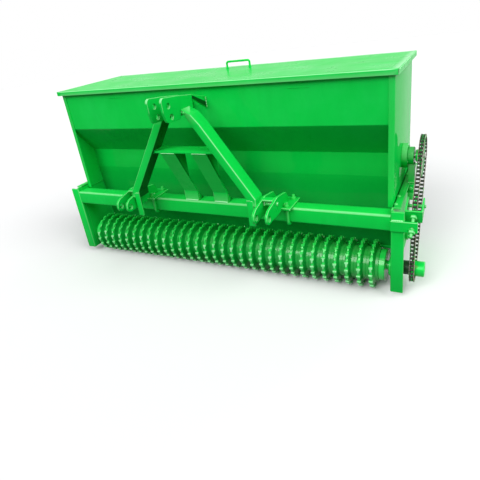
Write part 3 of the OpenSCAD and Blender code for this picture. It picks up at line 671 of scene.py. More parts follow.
def addFrameWork(f):
    h, y0, y1, z1 = f["half"], f["beamY"], f["rearY"], f["beamZ"]
    # stations close to the ends keep the painted highlight at the end faces short
    stations = np.concatenate([[-h, 2 - h], np.linspace(8 - h, h - 8, 9), [h - 2, h]])
    front = rounded(oblong(y0, y0 + f["beam"], z1 - f["beam"], z1), 10, 6)
    makePiece("frontBeamTube", [carried(front, stations)], "front_beam", gleam=0.6)
    back = rounded(oblong(y1 - f["rear"], y1, z1 - f["rear"], z1), 8, 5)
    makePiece("rearBeamTube", [carried(back, stations)], "rear_beam")
    # side plate behind a bent front flange; a rail along the top; the shafts pass through
    t, low, top, wide, back = f["plate"], f["plateLow"], f["plateTop"], h + f["postWide"], y0 + f["postDeep"]
    side = rounded([(back, low), (216, low), (265.2, low * 2), (y1, 300), (y1, top), (back, top)],
                   (2, 8, 8, 6, 4, 2), 5)
    holes = [hole((rings[k]["y"], rings[k]["z"]), f["shaftHole"]) for k in ("front", "rear")]
    post = rounded([(wide, y0), (h, y0), (h, back), (h + t, back), (h + t, y0 + t), (wide, y0 + t)],
                   (2, 7, 0.6, 0.6, 4, 2), 5)
    parts = [cutPlate([side] + holes, t, inYZ, (h + t / 2, 0, 0), 1.0), bar(post, low, top - 8, "z", 1.5),
             block((h, back + 1, top - t), (h + f["rail"], y1, top), 2),
             block((h + 0.2, y0 + 3, top - 16), (h + t - 0.2, back + 1, top), 1.5),
             weldBead((h + t + 1.5, y0 + t + 1.5, 60), (h + t + 1.5, y0 + t + 1.5, 400), 3)]
    # a painted highlight on the edges; the right rail's top is painted darker
    makePair("sidePlate*Work", parts, "side_plate_*", gleam=0.3,
             shade=lambda x, y, z: 0.3 * (x > 0) * (z > top - t - 1) * (y > back + 2))


addFrameWork(frameWork)

hopper = {
    "y0": -249.0, "y1": 289.0, "rim": 1048.0, "fold1": 824.0, "fold2": 659.0, "fold3": 540.0, "trough": 143.0,
    "shields": (152.0, 330.0), "lean": 22.0, "sheet": 3.0, "end": 4.0, "flange": 26.0, "bend": 9.0,
    "low": 440.0,
    "pull": 0.7, "calm": (954.0, 60.0),     # depth of the waves; they die out towards the ends over 60
    "spots": ((-540, 540), (1000, 1020)),   # middles and heights of the rows of spot welds, 100 long
    # painted shade by height: none above the upper fold, a little down to the trough's lower fold, most below
    # it
    "shadeAt": (380, 440, 539, 541, 659, 661, 822, 824),
    "shade": (0.42, 0.36, 0.36, 0.12, 0.12, 0.18, 0.18, 0),
}


def sheetWave(s):
    # welding pulls a thin sheet: the face moves by a few slow sines of length and height
    x, z = s[..., 0], s[..., 2]
    d = np.sin(x / 91.0 + 1.3) * np.sin(z / 70.0) + 0.6 * np.sin(x / 207.0 + z / 133.0)
    d += 0.4 * np.sin(x / 43.0 - z / 61.0)
    end, over = hopper["calm"]
    out = np.zeros_like(s)
    out[..., 1] = hopper["pull"] * d * np.clip((end - np.abs(x)) / over, 0, 1)
    return out


def addHopper(h):
    mid, half, t = (h["y0"] + h["y1"]) / 2, frameWork["half"], h["sheet"]
    for side, y0, s, low in (("front", h["y0"], 1, h["shields"][0]), ("rear", h["y1"], -1, h["shields"][1])):
        foot = mid - s * h["trough"]
        folds = np.array([(y0, h["rim"]), (y0, h["fold1"]), (foot, h["fold2"]), (foot, h["fold3"]),
                          (foot + s * h["lean"], low)])
        folds[:, 0] += s * t / 2
        path = rounded(folds, h["bend"], 6, closed=False)
        # more rows on the flats for the waves to work on: every stretch longer than 40 mm is divided
        steps = [np.linspace(a, b, max(2, int(np.linalg.norm(b - a) / 40) + 1))[:-1]
                 for a, b in zip(path[:-1], path[1:])]
        path = np.vstack(steps + [path[-1:]])
        sheet = carried(strip(path, t), np.linspace(-half + 4, half - 4, 61), "x", sheetWave)
        middles, heights = h["spots"]
        rows = [weldX(x - 50, x + 50, y0 - s * 0.4, z, 1.5, 9.0) for x in middles for z in heights]
        # the sheets carry that painted shade
        makePiece("hopper" + side.title() + "Sheet", [sheet] + rows, "hopper_" + side,
                  shade=lambda x, y, z: np.interp(z, h["shadeAt"], h["shade"]))
    # end panel with its edges folded inwards over the front and the rear sheet
    e, x, fold = h["end"], half, half - h["flange"]
    y0, y1 = h["y0"] - e, h["y1"] + e
    outer = [(fold, y0), (x, y0), (x, y1), (fold, y1), (fold, y1 - e), (x - e, y1 - e), (x - e, y0 + e),
             (fold, y0 + e)]
    panel = carried(rounded(outer, (1, 5, 5, 1, 1, 2, 2, 1), 5), np.linspace(h["low"], h["rim"], 16), "z")
    bead = weldY(h["y0"] + 4, h["y1"] - 4, x - 3, h["low"] - 1, 2.5)
    makePair("hopperEnd*Panel", [panel, bead], "hopper_end_*", look="panel")


addHopper(hopper)
print("frame work and hopper made")

lid = {
    "half": 976.0, "y0": -269.0, "y1": 315.0, "top": 1056.0, "lip": 24.0, "sheet": 2.5, "bend": 3.5,
    "hingeY": -265.0, "hingeZ": 1037.0, "hinges": (-720.295, -240.098, 240.098, 720.295), "knuckle": 4.0,
    "knuckles": (-34, 17), "knuckleLong": 17, "pin": 2.5, "leaf": 30.0,
    "gripX": 15.0, "gripY": 210.0, "grip": 148.0, "gripHigh": 38.0, "gripR": 6.0,
    "sag": 1.6, "drummed": 0.6,
}


def addLid(c):
    t, low = c["sheet"], c["top"] - c["lip"]
    top, inner = c["top"] - t / 2, c["half"] - 5.0

    def sag(s):
        # the top sheet hangs a little between its edges, as y * (1 - y),
        # and welding has drummed it in slow sines
        x, y = s[..., 0], s[..., 1]
        deep = (y - c["y0"]) / (c["y1"] - c["y0"])
        flat = np.clip(s[..., 2] - (c["top"] - 4), 0, 1) * np.clip(1 - np.abs(x / inner), 0, 0.1) * 10
        ripple = 0.5 * np.sin(x / 121.0 + 2.0) * np.sin(y / 83.0) + 0.35 * np.sin(x / 57.0 + y / 71.0)
        out = np.zeros_like(s)
        out[..., 2] = -flat * (c["sag"] * np.clip(deep * (1 - deep) * 4, 0, 1) + c["drummed"] * (1 + ripple))
        return out

    lines = [(c["y0"] + t / 2, low), (c["y0"] + t / 2, top), (c["y1"], top)]
    path = rounded(lines, c["bend"], 5, closed=False)
    path = np.vstack([path[:-1], np.linspace(path[-2], path[-1], 16)[1:]])
    sheet = carried(strip(path, t), np.linspace(-inner, inner, 65), "x", sag)
    # a painted highlight on the sheet's edges that face forwards and up
    makePiece("lidSheet", [sheet], "lid_panel", "lid", gleam=0.6)
    outer = c["half"] - t / 2
    edge = rounded([(inner, top), (outer, top), (outer, low)], c["bend"], 6, closed=False)
    lip = carried(strip(edge, t), [c["y0"], c["y0"] + 1, c["y1"] - 1, c["y1"]], "y")
    parts = [lip, moved(lip, mirrorX)]
    reach = c["knuckleLong"] + c["knuckles"][1] + 1
    for x in c["hinges"]:
        at = (x, c["hingeY"], c["hingeZ"])
        parts += [pin(a, a + c["knuckleLong"], c["knuckle"], at, 16) for a in c["knuckles"]]
        parts.append(turned([(-reach, c["pin"] - 0.5), (1 - reach, c["pin"]), (reach - 1, c["pin"]),
                             (reach, c["pin"] - 0.5)], at, "x", 12))
    # a painted highlight on the lips' and hinges' edges
    makePiece("lidEdges", parts, "lid_lips", "lid", gleam=0.5)
    x0, x1, y, r = c["gripX"] - c["grip"] / 2, c["gripX"] + c["grip"] / 2, c["gripY"], c["gripR"]
    foot, high = c["top"] - 3, c["top"] + c["gripHigh"]
    bow = rounded([(x0, y, foot), (x0, y, high), (x1, y, high), (x1, y, foot)], 11, 7, closed=False)
    collar = [(-1, r + 4), (1.2, r + 3.4), (3.4, r + 1), (4.0, r - 1)]   # the weld round each foot
    parts = [rod(bow, r, 14)] + [turned(collar, (x, y, c["top"]), "z", 18) for x in (x0, x1)]
    makePiece("lidHandleBow", parts, "lid_handle", "lid")


addLid(lid)
print("lid made")

mast = {
    "gap": 66.0, "ear": 12.0, "topY": -567.0, "topZ": 1006.0, "hole": 13.0, "lowHole": (-555.0, 955.0),
    "legY": -482.0, "legDeep": 80.0, "legWide": 49.0, "legTop": 957.0, "legBend": 536.0, "legFoot": 502.0,
    "footX": 373.0, "crossIn": 14.0, "crossZ": 752.0, "crossDeep": 94.0, "crossThick": 10.0, "tongueZ": 928.0,
    "braceX": 92.0, "braceWide": 85.0, "brace": 10.0, "braceIn": 8.0, "braceUp": 56.0, "rib": 8.0,
    "strapLow": 396.0, "strapWide": 34.0, "slope": 0.53, "slopeTop": 13.0,
    # strengths of the painted highlight on edges and of the painted shade on the legs' inner sides, the
    # tongues and behind the braces
    "gleam": {"leg": 0.42, "ear": 0.7, "brace": 0.75}, "shade": {"leg": 0.85, "ear": 0.95, "brace": 0.9},
}


def legSides(m, heights):
    # the leg's inner and outer side at a height: straight from the top to the bend, upright below it
    z = np.asarray(heights, float)
    t = np.clip((m["legTop"] - z) / (m["legTop"] - m["legBend"]), 0, 1)
    inner = m["gap"] / 2 + m["ear"]
    left = inner + t * (m["footX"] - m["legWide"] - inner)
    return left, left + m["legWide"]


def legTube(m):
    # a rounded rectangle in plan at each height, moved along X to the leg's place there
    bend, top, foot = m["legBend"], m["legTop"], m["legFoot"]
    z = np.array([foot, foot + 1, bend - 10, bend - 4, bend, bend + 4, bend + 10, bend + 60,
                  top - 60, top - 1, top])
    left, right = legSides(m, z)
    wide, deep = m["legWide"] / 2, m["legDeep"] / 2
    plan = rounded(oblong(-wide, wide, -deep, deep), 5.0, 5)
    inset = np.where((z == z[0]) | (z == z[-1]), 0.97, 1.0)[:, None]
    s = np.empty((len(z), len(plan), 3))
    s[..., 0] = ((left + right) / 2)[:, None] + plan[:, 0] * inset
    s[..., 1] = m["legY"] + deep + plan[:, 1] * inset
    s[..., 2] = z[:, None]
    # cut on a slope, highest at the ear
    s[-2:, :, 2] += m["slopeTop"] - m["slope"] * (s[-2:, :, 0] - left[-1])
    return grid(s, closeV=True, capU=True)


def addLegs(m):
    legY, bend, top, inner = m["legY"], m["legBend"], m["legTop"], m["gap"] / 2 + m["ear"]
    x = m["footX"] - m["legWide"]
    parts = [legTube(m), block((x, legY - 1.0, m["strapLow"]), (x + m["strapWide"], legY + 9, bend - 8), 2.0)]
    parts += bolt((inner + 14, legY - 0.5, top - 4), "y", -1, 7, washer=False)
    parts.append(weldBead((x + 2, legY - 0.5, bend - 8), (x + 20, legY - 0.5, bend - 6), 2.0))
    # a painted highlight on the edges and painted shade on the inner side below the top
    makePair("mastLeg*Tube", parts, "mast_leg_*", gleam=m["gleam"]["leg"], shade=lambda x, y, z:
             m["shade"]["leg"] * (np.abs(x) < legSides(m, z)[0] + 1.0) * (z < top + 6) * (z > m["legFoot"]))


def addEars(m):
    legY, top, tongue, gap = m["legY"], m["legTop"], m["tongueZ"], m["gap"] / 2
    inner = gap + m["ear"]
    y, z, back, wall = m["topY"], m["topZ"], legY + m["legDeep"] + 30, hopper["y0"]
    outline = rounded([(y - 46, z + 42), (y - 43, z - 23), (y - 27, z - 72), (legY - 7, z - 77),
                       (legY + 2, z - 62), (back - 2, z - 50), (back, z - 3), (wall, tongue),
                       (wall, tongue + 56), (back, z + 12), (legY - 8, z + 29)],
                      (20, 30, 14, 8, 5, 4, 3, 1, 1, 6, 60), 7)
    # a thin sheet on each tongue, behind the ear's rear edge, only to carry a painted shadow
    shadowSheet = [(back + 2, z - 6), (wall - 2, tongue + 3), (wall - 2, tongue + 30), (back + 2, z + 8)]
    holes = [hole((y, z), m["hole"]), hole(m["lowHole"], m["hole"])]
    parts = []
    for s in (-1, 1):
        bead = s * (inner + 1.5)
        parts += [cutPlate([outline] + holes, m["ear"], inYZ, (s * (gap + m["ear"] / 2), 0, 0), 1.6),
                  cutPlate([shadowSheet], 1.2, inYZ, (s * (inner + 0.2), 0, 0), 0.2),
                  weldY(legY + 3, back - 34, bead, top - 0.5, 4),
                  weldBead((bead, wall - 1.5, tongue + 3), (bead, wall - 1.5, tongue + 53), 3.5, 12.0)]
    parts += [block((-gap, legY + m["crossIn"], top - 20), (gap, back - 34, top - 8), 2),
              weldX(2 - gap, gap - 2, legY + 14, top - 8, 3)]
    # painted shadow on that thin sheet; a painted highlight on the edges
    paintedDark, high = m["shade"]["ear"], m["topZ"] + 8
    makePiece("mastEarPlates", parts, "mast_ears", gleam=m["gleam"]["ear"], shade=lambda x, y, z:
              paintedDark * (np.abs(np.abs(x) - inner - 0.6) < 0.3) * (y > back + 1) * (z < high))


def addCrossAndBraces(m):
    low, top = m["crossZ"], m["crossZ"] + m["crossThick"]
    (x0, x1), _ = legSides(m, [low, top])
    y0, rear = m["legY"] + m["crossIn"], m["legY"] + m["legDeep"] - 4
    y1 = y0 + m["crossDeep"]
    parts = [block((-x1, y0, low), (x1, y1, top), 1.6)]
    for s in (-1, 1):
        parts += [weldY(y0 + 1, rear, s * (x1 - 1), top + 0.5, 3.5),
                  weldY(y0 + 1, rear, s * (x0 - 2), low - 0.5, 3)]
    makePiece("mastCrossPlate", parts, "mast_crossbar")
    # a brace runs from the cross plate to the beam's face; ribs behind its head, a gusset behind its foot
    t, foot, beam, rib = m["brace"], frameWork["beamY"] + m["braceIn"], frameWork["beamZ"], m["rib"]
    bend = beam + m["braceUp"]
    lean = (foot - y0) / (low - bend)
    line = rounded([(y0 + t / 2 + 1, low), (foot + t / 2, bend), (foot + t / 2, beam)], 10, 6, closed=False)
    ribY = y1 - 4
    ribForm = rounded([(y0 + t / 2, low), (ribY, low - (ribY - y0 - t / 2) / lean), (ribY, low)], 2, 3)
    gusset = rounded([(foot + t, beam), (foot + t + 42, beam), (foot + t, beam + 46)], 2, 3)
    parts = []
    for s in (-1, 1):
        lo, hi = s * m["braceX"] - m["braceWide"] / 2, s * m["braceX"] + m["braceWide"] / 2
        parts.append(bar(strip(line, t), lo, hi, "x", 1.4))
        for form, x in ((ribForm, lo + rib / 2), (ribForm, hi - rib / 2), (gusset, hi - rib / 2)):
            parts.append(cutPlate([form], rib, inYZ, (x, 0, 0), 0.8))
        parts += [weldX(lo + 2, hi - 2, foot - 1, beam + 2, 3.5, 7.0),
                  weldX(lo + 2, hi - 2, y0 + 1, low - 1, 2.0)]

    # painted shade on all behind the sloping plate: the ribs under its head and the gusset behind its foot
    def behind(x, y, z):
        # the back of the sloping plate is at foot - share of the slope * its depth + its thickness
        share = np.clip((z - bend) / (low - bend), 0, 1)
        return m["shade"]["brace"] * (y > foot - share * (foot - y0) + t + 1)

    makePiece("mastBracePlates", parts, "mast_braces", shade=behind, gleam=m["gleam"]["brace"])


addLegs(mast)
addEars(mast)
addCrossAndBraces(mast)
print("mast made")

hitch = {
    "x": 412.0, "gap": 54.0, "ear": 12.0, "pinY": -517.0, "pinZ": 460.0, "hole": 14.5, "round": 27.0,
    "spacerY": -414.0, "spacerZ": 491.0, "spacerR": 11.0, "base": (86.0, 34.0, 10.0), "uOff": 60.0, "uR": 8.0,
    "uEnd": 24.0, "uBend": 17.0, "nut": (9.5, 12.4, 10.4), "washer": (14.5, 1.6),
    # strengths of the painted highlight on the plates' and the U-bolts' edges
    "gleam": 0.65, "uPaintedHighlight": 0.12,
}


def earOutline(h):
    # round nose about the pin hole, a bowed top edge, a rounded rear corner over the beam
    y, z, top, beam = h["pinY"], h["pinZ"], frameWork["beamZ"] + h["base"][2], frameWork["beamY"]
    a = np.radians(np.linspace(-75, -185, 16))
    nose = np.stack([y + h["round"] * np.cos(a), z + h["round"] * np.sin(a)], -1)
    back = [tuple(nose[-1]), (y - 23, z + 24), (y + 2, z + 41), (h["spacerY"] + 14, h["spacerZ"] + 32),
            (beam + 46, z + 45), (beam + 71, z + 8), (beam + 70, top), (beam - 2, top), (beam - 2, top - 13),
            tuple(nose[0])]
    return np.vstack([nose[:-1], rounded(back, (1, 26, 40, 40, 12, 6, 0.5, 0.5, 4, 1), 6, closed=False)[:-1]])


def addHitch(h):
    side, out, thick = h["base"]
    x, z, half, r = h["x"], frameWork["beamZ"], h["gap"] / 2, h["uR"]
    front, back = frameWork["beamY"], frameWork["beamY"] + frameWork["beam"]
    parts, irons = [], []
    outlines = [earOutline(h), hole((h["pinY"], h["pinZ"]), h["hole"])]
    for s in (-1, 1):
        ear = x + s * (half + h["ear"] / 2)
        parts += [cutPlate(outlines, h["ear"], inYZ, (ear, 0, 0), 1.6),
                  weldY(front + 2, front + 36, ear + s * (h["ear"] / 2 + 1.5), z + thick + 0.5, 3.5)]
    plan = rounded(oblong(x - side, x + side, front - out, back + out), 6, 5)
    legs = (front - r - 1, back + r + 1)
    drilled = [hole((x + s * h["uOff"], y), r + 0.6, 20) for s in (-1, 1) for y in legs]
    y1, z1 = h["spacerY"], h["spacerZ"]
    parts += [cutPlate([plan] + drilled, thick, inXY, (0, 0, z + thick / 2), 1.2),
              block((x - half - 1, y1 - 26, z1 + 21), (x + half + 1, y1 + 14, z1 + 29), 1.5),
              turned([(-half, h["spacerR"]), (half, h["spacerR"])], (x, y1, z1), "x", 24)]
    parts += bolt((x - half + 0.5, y1, z1), "x", 1, 15, washer=False)
    for s in (1, -1):
        parts += bolt((x + s * (half + h["ear"] + 1), y1, z1), "x", s, 9)
    # U-bolts round the beam, each leg with a nut on a washer
    low, high, seat = z - frameWork["beam"] - r - 1, z + thick + h["uEnd"], z + thick
    small, wide, tall = h["nut"]
    washerR, washerTall = h["washer"]
    for s in (-1, 1):
        u = x + s * h["uOff"]
        bow = rounded([(u, legs[0], high), (u, legs[0], low), (u, legs[1], low), (u, legs[1], high)],
                      h["uBend"], 7, closed=False)
        irons.append(rod(bow, r, 14))
        for y in legs:
            nut = [(0, small), (0.8, wide), (tall - 1, wide), (tall, small)]
            irons += [turned(nut, (u, y, seat + washerTall), "z", sides=6),
                      turned([(0, washerR), (washerTall, washerR)], (u, y, seat), "z", 24)]
    for side in ("Right", "Left"):
        makeSide(side, "clevis*Plates", parts, "clevis_*", gleam=h["gleam"])
        makeSide(side, "uBolts*", irons, "clamps_*", gleam=h["uPaintedHighlight"])


addHitch(hitch)
print("hitch made")

drive = {
    "pitch": 19.05, "x": 1048.0, "top": (20.0, 600.0, 32), "low": (-241.0, 121.0, 19), "idlerTeeth": 15,
    "bar": (-346.0, 386.0), "tilt": 18.0, "reach": 150.0, "roller": 12.0, "plateHigh": 17.0, "plate": 2.0,
    # strengths of painted shade: inside the chain and on the roller sprocket, less on the metering sprocket's
    # rim
    "inside": 14.0, "gap": 0.3, "waist": 0.62, "thick": 10.0, "lean": 14.0, "shade": 0.95, "rimShade": 0.5,
}


def wheelRadius(n):
    # half the pitch over the sine of half a tooth's angle
    return drive["pitch"] / 2 / math.sin(math.pi / n)


def chainPins(d):
    # outer tangents between the three wheels; the loop's length is shared out evenly between the pins
    (y, z), tilt, reach = d["bar"], math.radians(d["tilt"]), d["reach"]
    idler = (y + reach * math.cos(tilt), z + reach * math.sin(tilt), d["idlerTeeth"])
    wheels = [d["top"], idler, d["low"]]
    centres = np.array([w[:2] for w in wheels])
    radii = np.array([wheelRadius(w[2]) for w in wheels])
    ahead = np.roll(centres, -1, 0) - centres
    length = np.linalg.norm(ahead, axis=1)
    u = ahead / length[:, None]
    c = (radii - np.roll(radii, -1)) / length
    s = np.sqrt(1 - c * c)
    normal = np.stack([u[:, 0] * c + u[:, 1] * s, u[:, 1] * c - u[:, 0] * s], -1)
    angle = np.arctan2(normal[:, 1], normal[:, 0])
    before = np.roll(angle, 1)
    bow = radii * ((angle - before) % (2 * math.pi))     # the part that lies on each wheel
    part = bow + np.sqrt(length ** 2 - (radii - np.roll(radii, -1)) ** 2)
    ends = np.cumsum(part)
    count = 2 * round(ends[-1] / d["pitch"] / 2)
    at = (np.arange(count) + 0.5) * ends[-1] / count
    i = np.searchsorted(ends, at)
    local = at - (ends - part)[i]
    a = before[i] + np.minimum(local, bow[i]) / radii[i]
    n = np.stack([np.cos(a), np.sin(a)], -1)
    along = np.stack([-n[:, 1], n[:, 0]], -1)
    pins = centres[i] + radii[i][:, None] * n + np.maximum(0, local - bow[i])[:, None] * along
    # each wheel is turned so that its seats lie under the pins
    phase = [np.angle(np.exp(1j * a[(i == k) & (local < bow[i])] * wheel[2]).mean()) / wheel[2]
             for k, wheel in enumerate(wheels)]
    return pins, wheels, phase


def onEveryPin(d, pins, rows, around):
    # a small turned part on each pin from rows of (length, radius): pin + radius * (cos, sin)
    angle = np.arange(around) * 2 * math.pi / around
    wide, radius = np.array(rows).T[:, :, None]
    points = np.empty((len(pins), len(rows), around, 3))
    points[..., 0] = d["x"] + wide
    points[..., 1] = pins[:, 0, None, None] + radius * np.cos(angle)
    points[..., 2] = pins[:, 1, None, None] + radius * np.sin(angle)
    return copies(points)


def chainParts(d, pins):
    # every link has two waisted plates, the outer links' outside the inner ones':
    # point = middle between two pins + u * the way to the next pin + v * the way square to it
    nextPins = np.roll(pins, -1, 0)
    mid, way = (pins + nextPins) / 2, nextPins - pins
    way /= np.linalg.norm(way, axis=1)[:, None]
    up = np.stack([-way[:, 1], way[:, 0]], -1)
    r, thick = d["plateHigh"] / 2, d["plate"]
    a = np.radians(np.linspace(-62, 62, 8))
    half = np.vstack([np.stack([d["pitch"] / 2 + r * np.cos(a), r * np.sin(a)], -1), (0, r * d["waist"])])
    flat = np.array([0.94, 1, 1, 0.94])[:, None, None] * np.vstack([half, -half])
    parts = []
    for side in (-1, 1):
        for odd in (0, 1):
            k = slice(odd, None, 2)
            x0 = d["inside"] / 2 + d["gap"] + odd * (thick + d["gap"])
            points = np.empty((len(pins[k]), *flat.shape[:2], 3))
            points[..., 0] = d["x"] + side * (x0 + np.array([0, 0.4, thick - 0.4, thick]))[:, None]
            for axis in (0, 1):
                m, w, n = (v[k, axis, None, None] for v in (mid, way, up))
                points[..., axis + 1] = m + flat[..., 0] * w + flat[..., 1] * n
            parts.append(copies(points))
    return parts + [onEveryPin(d, pins, [(-7.0, 5.4), (-6.4, 6.0), (6.4, 6.0), (7.0, 5.4)], 12),
                    onEveryPin(d, pins, [(-11.6, 2.2), (-11.2, 2.9), (11.2, 2.9), (11.6, 2.2)], 8)]


def wheelOutline(n, phase, d):
    # a seat under every roller, then a tooth that rises and narrows between two seats
    pitchR, seat = wheelRadius(n), d["roller"] / 2 + 0.25
    step = 2 * math.pi / n
    t = np.radians(np.linspace(-58, 58, 7))
    y = np.stack([pitchR - seat * np.cos(t), seat * np.sin(t)], -1)     # the seat, a circle round the pin
    tip = np.array([(pitchR + d["roller"] * 0.30, step * pitchR * 0.5 - 2.4),
                    (pitchR + d["roller"] * 0.52, step * pitchR * 0.5 - 0.9)])
    radius = np.concatenate([y[:, 0], tip[:, 0], tip[::-1, 0]])
    over = tip[:, 1] / tip[:, 0]
    around = np.concatenate([y[:, 1] / pitchR, over, step - over[::-1]])
    a = (phase + np.arange(n)[:, None] * step + around[None]).ravel()
    return np.tile(radius, n)[:, None] * np.stack([np.cos(a), np.sin(a)], -1)


def addDrive(d):
    pins, wheels, phase = chainPins(d)
    inner, x, half = d["inside"] / 2 + d["plate"] + 0.4, d["x"], d["thick"] / 2
    # painted shade: the inner plates and the rollers near black
    makePiece("chainLinks", chainParts(d, pins), "drive_chain", look="chain", slot="oiled_steel",
              shade=lambda x, y, z: d["shade"] * (np.abs(x - d["x"]) < inner))

    def disc(k, bore):
        y, z, teeth = wheels[k]
        outlines = [wheelOutline(teeth, phase[k], d), hole((0, 0), bore)]
        return cutPlate(outlines, 2 * half - 2, inYZ, (x, y, z), 1.4)

    y, z, _ = wheels[0]
    hub = [(x - 30, 28), (x - 28, 30), (x - half, 30), (x - half, 12.6), (x - 30, 12.6)]
    parts = [disc(0, 12.6), turned(hub, (0, y, z), "x", 40, ring=True)]
    # painted shade on the sprocket's rim
    makePiece("meteringWheel", parts, "metering_sprocket", "metering", "iron", "oiled_steel",
              shade=lambda a, b, c: d["rimShade"] * (np.hypot(b - y, c - z) > 50))
    at = (0, *wheels[2][:2])
    boss = [(984, 32), (986, 34), (x - half, 34), (x - half, 22.7), (984, 22.7)]
    cup = [(x + half, 35), (x + half + 6, 37), (1098, 37), (1100, 35), (1100, 15), (1095, 13), (1094, 0.1)]
    # painted shade on the roller sprocket and its boss, all but the outer cup
    makePiece("rollerWheel", [disc(2, 22.6), turned(boss, at, "x", 40, ring=True), turned(cup, at, "x")],
              "roller_sprocket", "front_roller", "iron", "oiled_steel",
              shade=lambda a, b, c: d["shade"] * (a < x + 2))
    makePiece("idlerWheel", [disc(1, 8.1)], "idler_sprocket", "idler", "iron", "oiled_steel")


addDrive(drive)
print("chain drive made")

machine = {
    "meterY": 20.0, "meterZ": 600.0, "end": 958.0, "hubLong": 27.0, "hubR": 60.0, "barrelR": 43.0,
    "leftR": 45.0, "leftLong": 22.0,
    "supportX": (986.0, 1016.0), "supportY": (0.0, 40.0), "rail": (457.0, 465.0),
    "bore": 12.55, "railBolts": (-272.0, -179.0, 114.0),
    "bearingR": 52.0, "bearingIn": 16.0, "bearingOut": 14.0,
    "shaftR": 22.5, "shaftEnd": 26.0, "longEnd": 1094.0,
    "collarR": 78.0, "rearCollarR": 66.0, "collarLong": 28.0,
    "scraper": ((-958.0, -108.0, 138.0), (958.0, -94.0, 152.0)), "rod": (-992.0, 1062.0, 12.5),
    # strengths of the painted highlight on the edges of the hub, post, tensioner bar and fork
    "gleam": {"hub": 0.25, "post": 0.5, "bar": 0.6, "yoke": 0.35},
}
fork = {
    "barPlate": (25.0, -19.0, 31.0, 12.0), "hole": 9.4, "screwR": 8.0, "screwFrom": -46.0, "threadPitch": 2.0,
    "nuts": 14.4, "nutFrom": -14.5, "plate": (37.0, -22.0, 44.0, 8.0), "plateBehind": 32.0,
    "armX": 34.0, "armThick": 6.0, "arm": (-20.0, 42.0, 22.0), "armRound": 14.0, "axle": (31.0, 8.0),
}


def addHubs(m):
    at, bore = (0, m["meterY"], m["meterZ"]), m["bore"]
    x, long = m["end"], m["hubLong"]
    right = [flange(x, x + long, m["hubR"], bore, at, 2.5),
             flange(x + long, x + 2 * long, m["barrelR"], bore, at)]
    right += fourBolts(x + long + 0.2, at, 51.5, 5.0, 1, 20.0)
    makePiece("hubRightCast", right, "hub_right", gleam=m["gleam"]["hub"])
    left = [flange(-x, -x - m["leftLong"], m["leftR"], bore, at, 2.5)]
    left += fourBolts(-x - m["leftLong"] - 0.2, at, 33.0, 6.0, -1, 45.0)
    makePiece("hubLeftCast", left, "hub_left")
    # the post: a saddle under the barrel, and three blocks down to the side plate
    (x0, x1), (y0, y1), (low, top) = m["supportX"], m["supportY"], m["rail"]
    r = m["barrelR"] + 0.4
    reach = math.asin((y1 - m["meterY"]) / r)
    a = np.linspace(-reach, reach, 9)
    saddle = np.stack([m["meterY"] - r * np.sin(a), m["meterZ"] - r * np.cos(a)], -1)
    post = np.vstack([[(y0, top), (y1, top)], saddle])
    parts = [cutPlate([post], x1 - x0, inYZ, ((x0 + x1) / 2, 0, 0), 1.2),
             block((x + 38.1, y0, low - 0.5), (x1, y1, top + 1), 1.0),
             block((x + 8, y0, low - 48), (x1 - 1, y1, low), 2.0),
             block((x0, y0 + 1, low - 87), (x1 - 3, y1 - 1, low - 47), 2.5)]
    parts += bolt((x0 + 15, y0 - 0.5, low - 24), "y", -1, 9)
    for y in m["railBolts"]:
        parts += bolt((x + 13, y, top + 0.3), "z", 1, 7.5)
    parts += [weldX(x0 + 2, x1 - 2, y0, top + 1, 2.5), weldX(x0 + 4, x1 - 4, y0 + 1, m["meterZ"] - 41, 2.5)]
    makePiece("hubSupportPost", parts, "hub_support", gleam=m["gleam"]["post"])


def tiltedX(angle):
    # turns a part about X by the rod's slope
    c, s = math.cos(math.radians(angle)), math.sin(math.radians(angle))
    return np.array([(1, 0, 0), (0, c, -s), (0, s, c)])


def threaded(start, end, radius, pitch, around=14):
    # a rod along Y whose radius rises and falls once a pitch
    t = np.linspace(start, end, int((end - start) / pitch * 2) + 1)
    profile = np.stack([t, radius - 0.45 + 0.45 * np.cos(np.arange(len(t)) * math.pi)], -1)
    profile = np.vstack([(start - 1.0, radius - 2.0), profile, (end + 0.5, radius - 2.0)])
    return turned(profile, (0, 0, 0), "y", around)


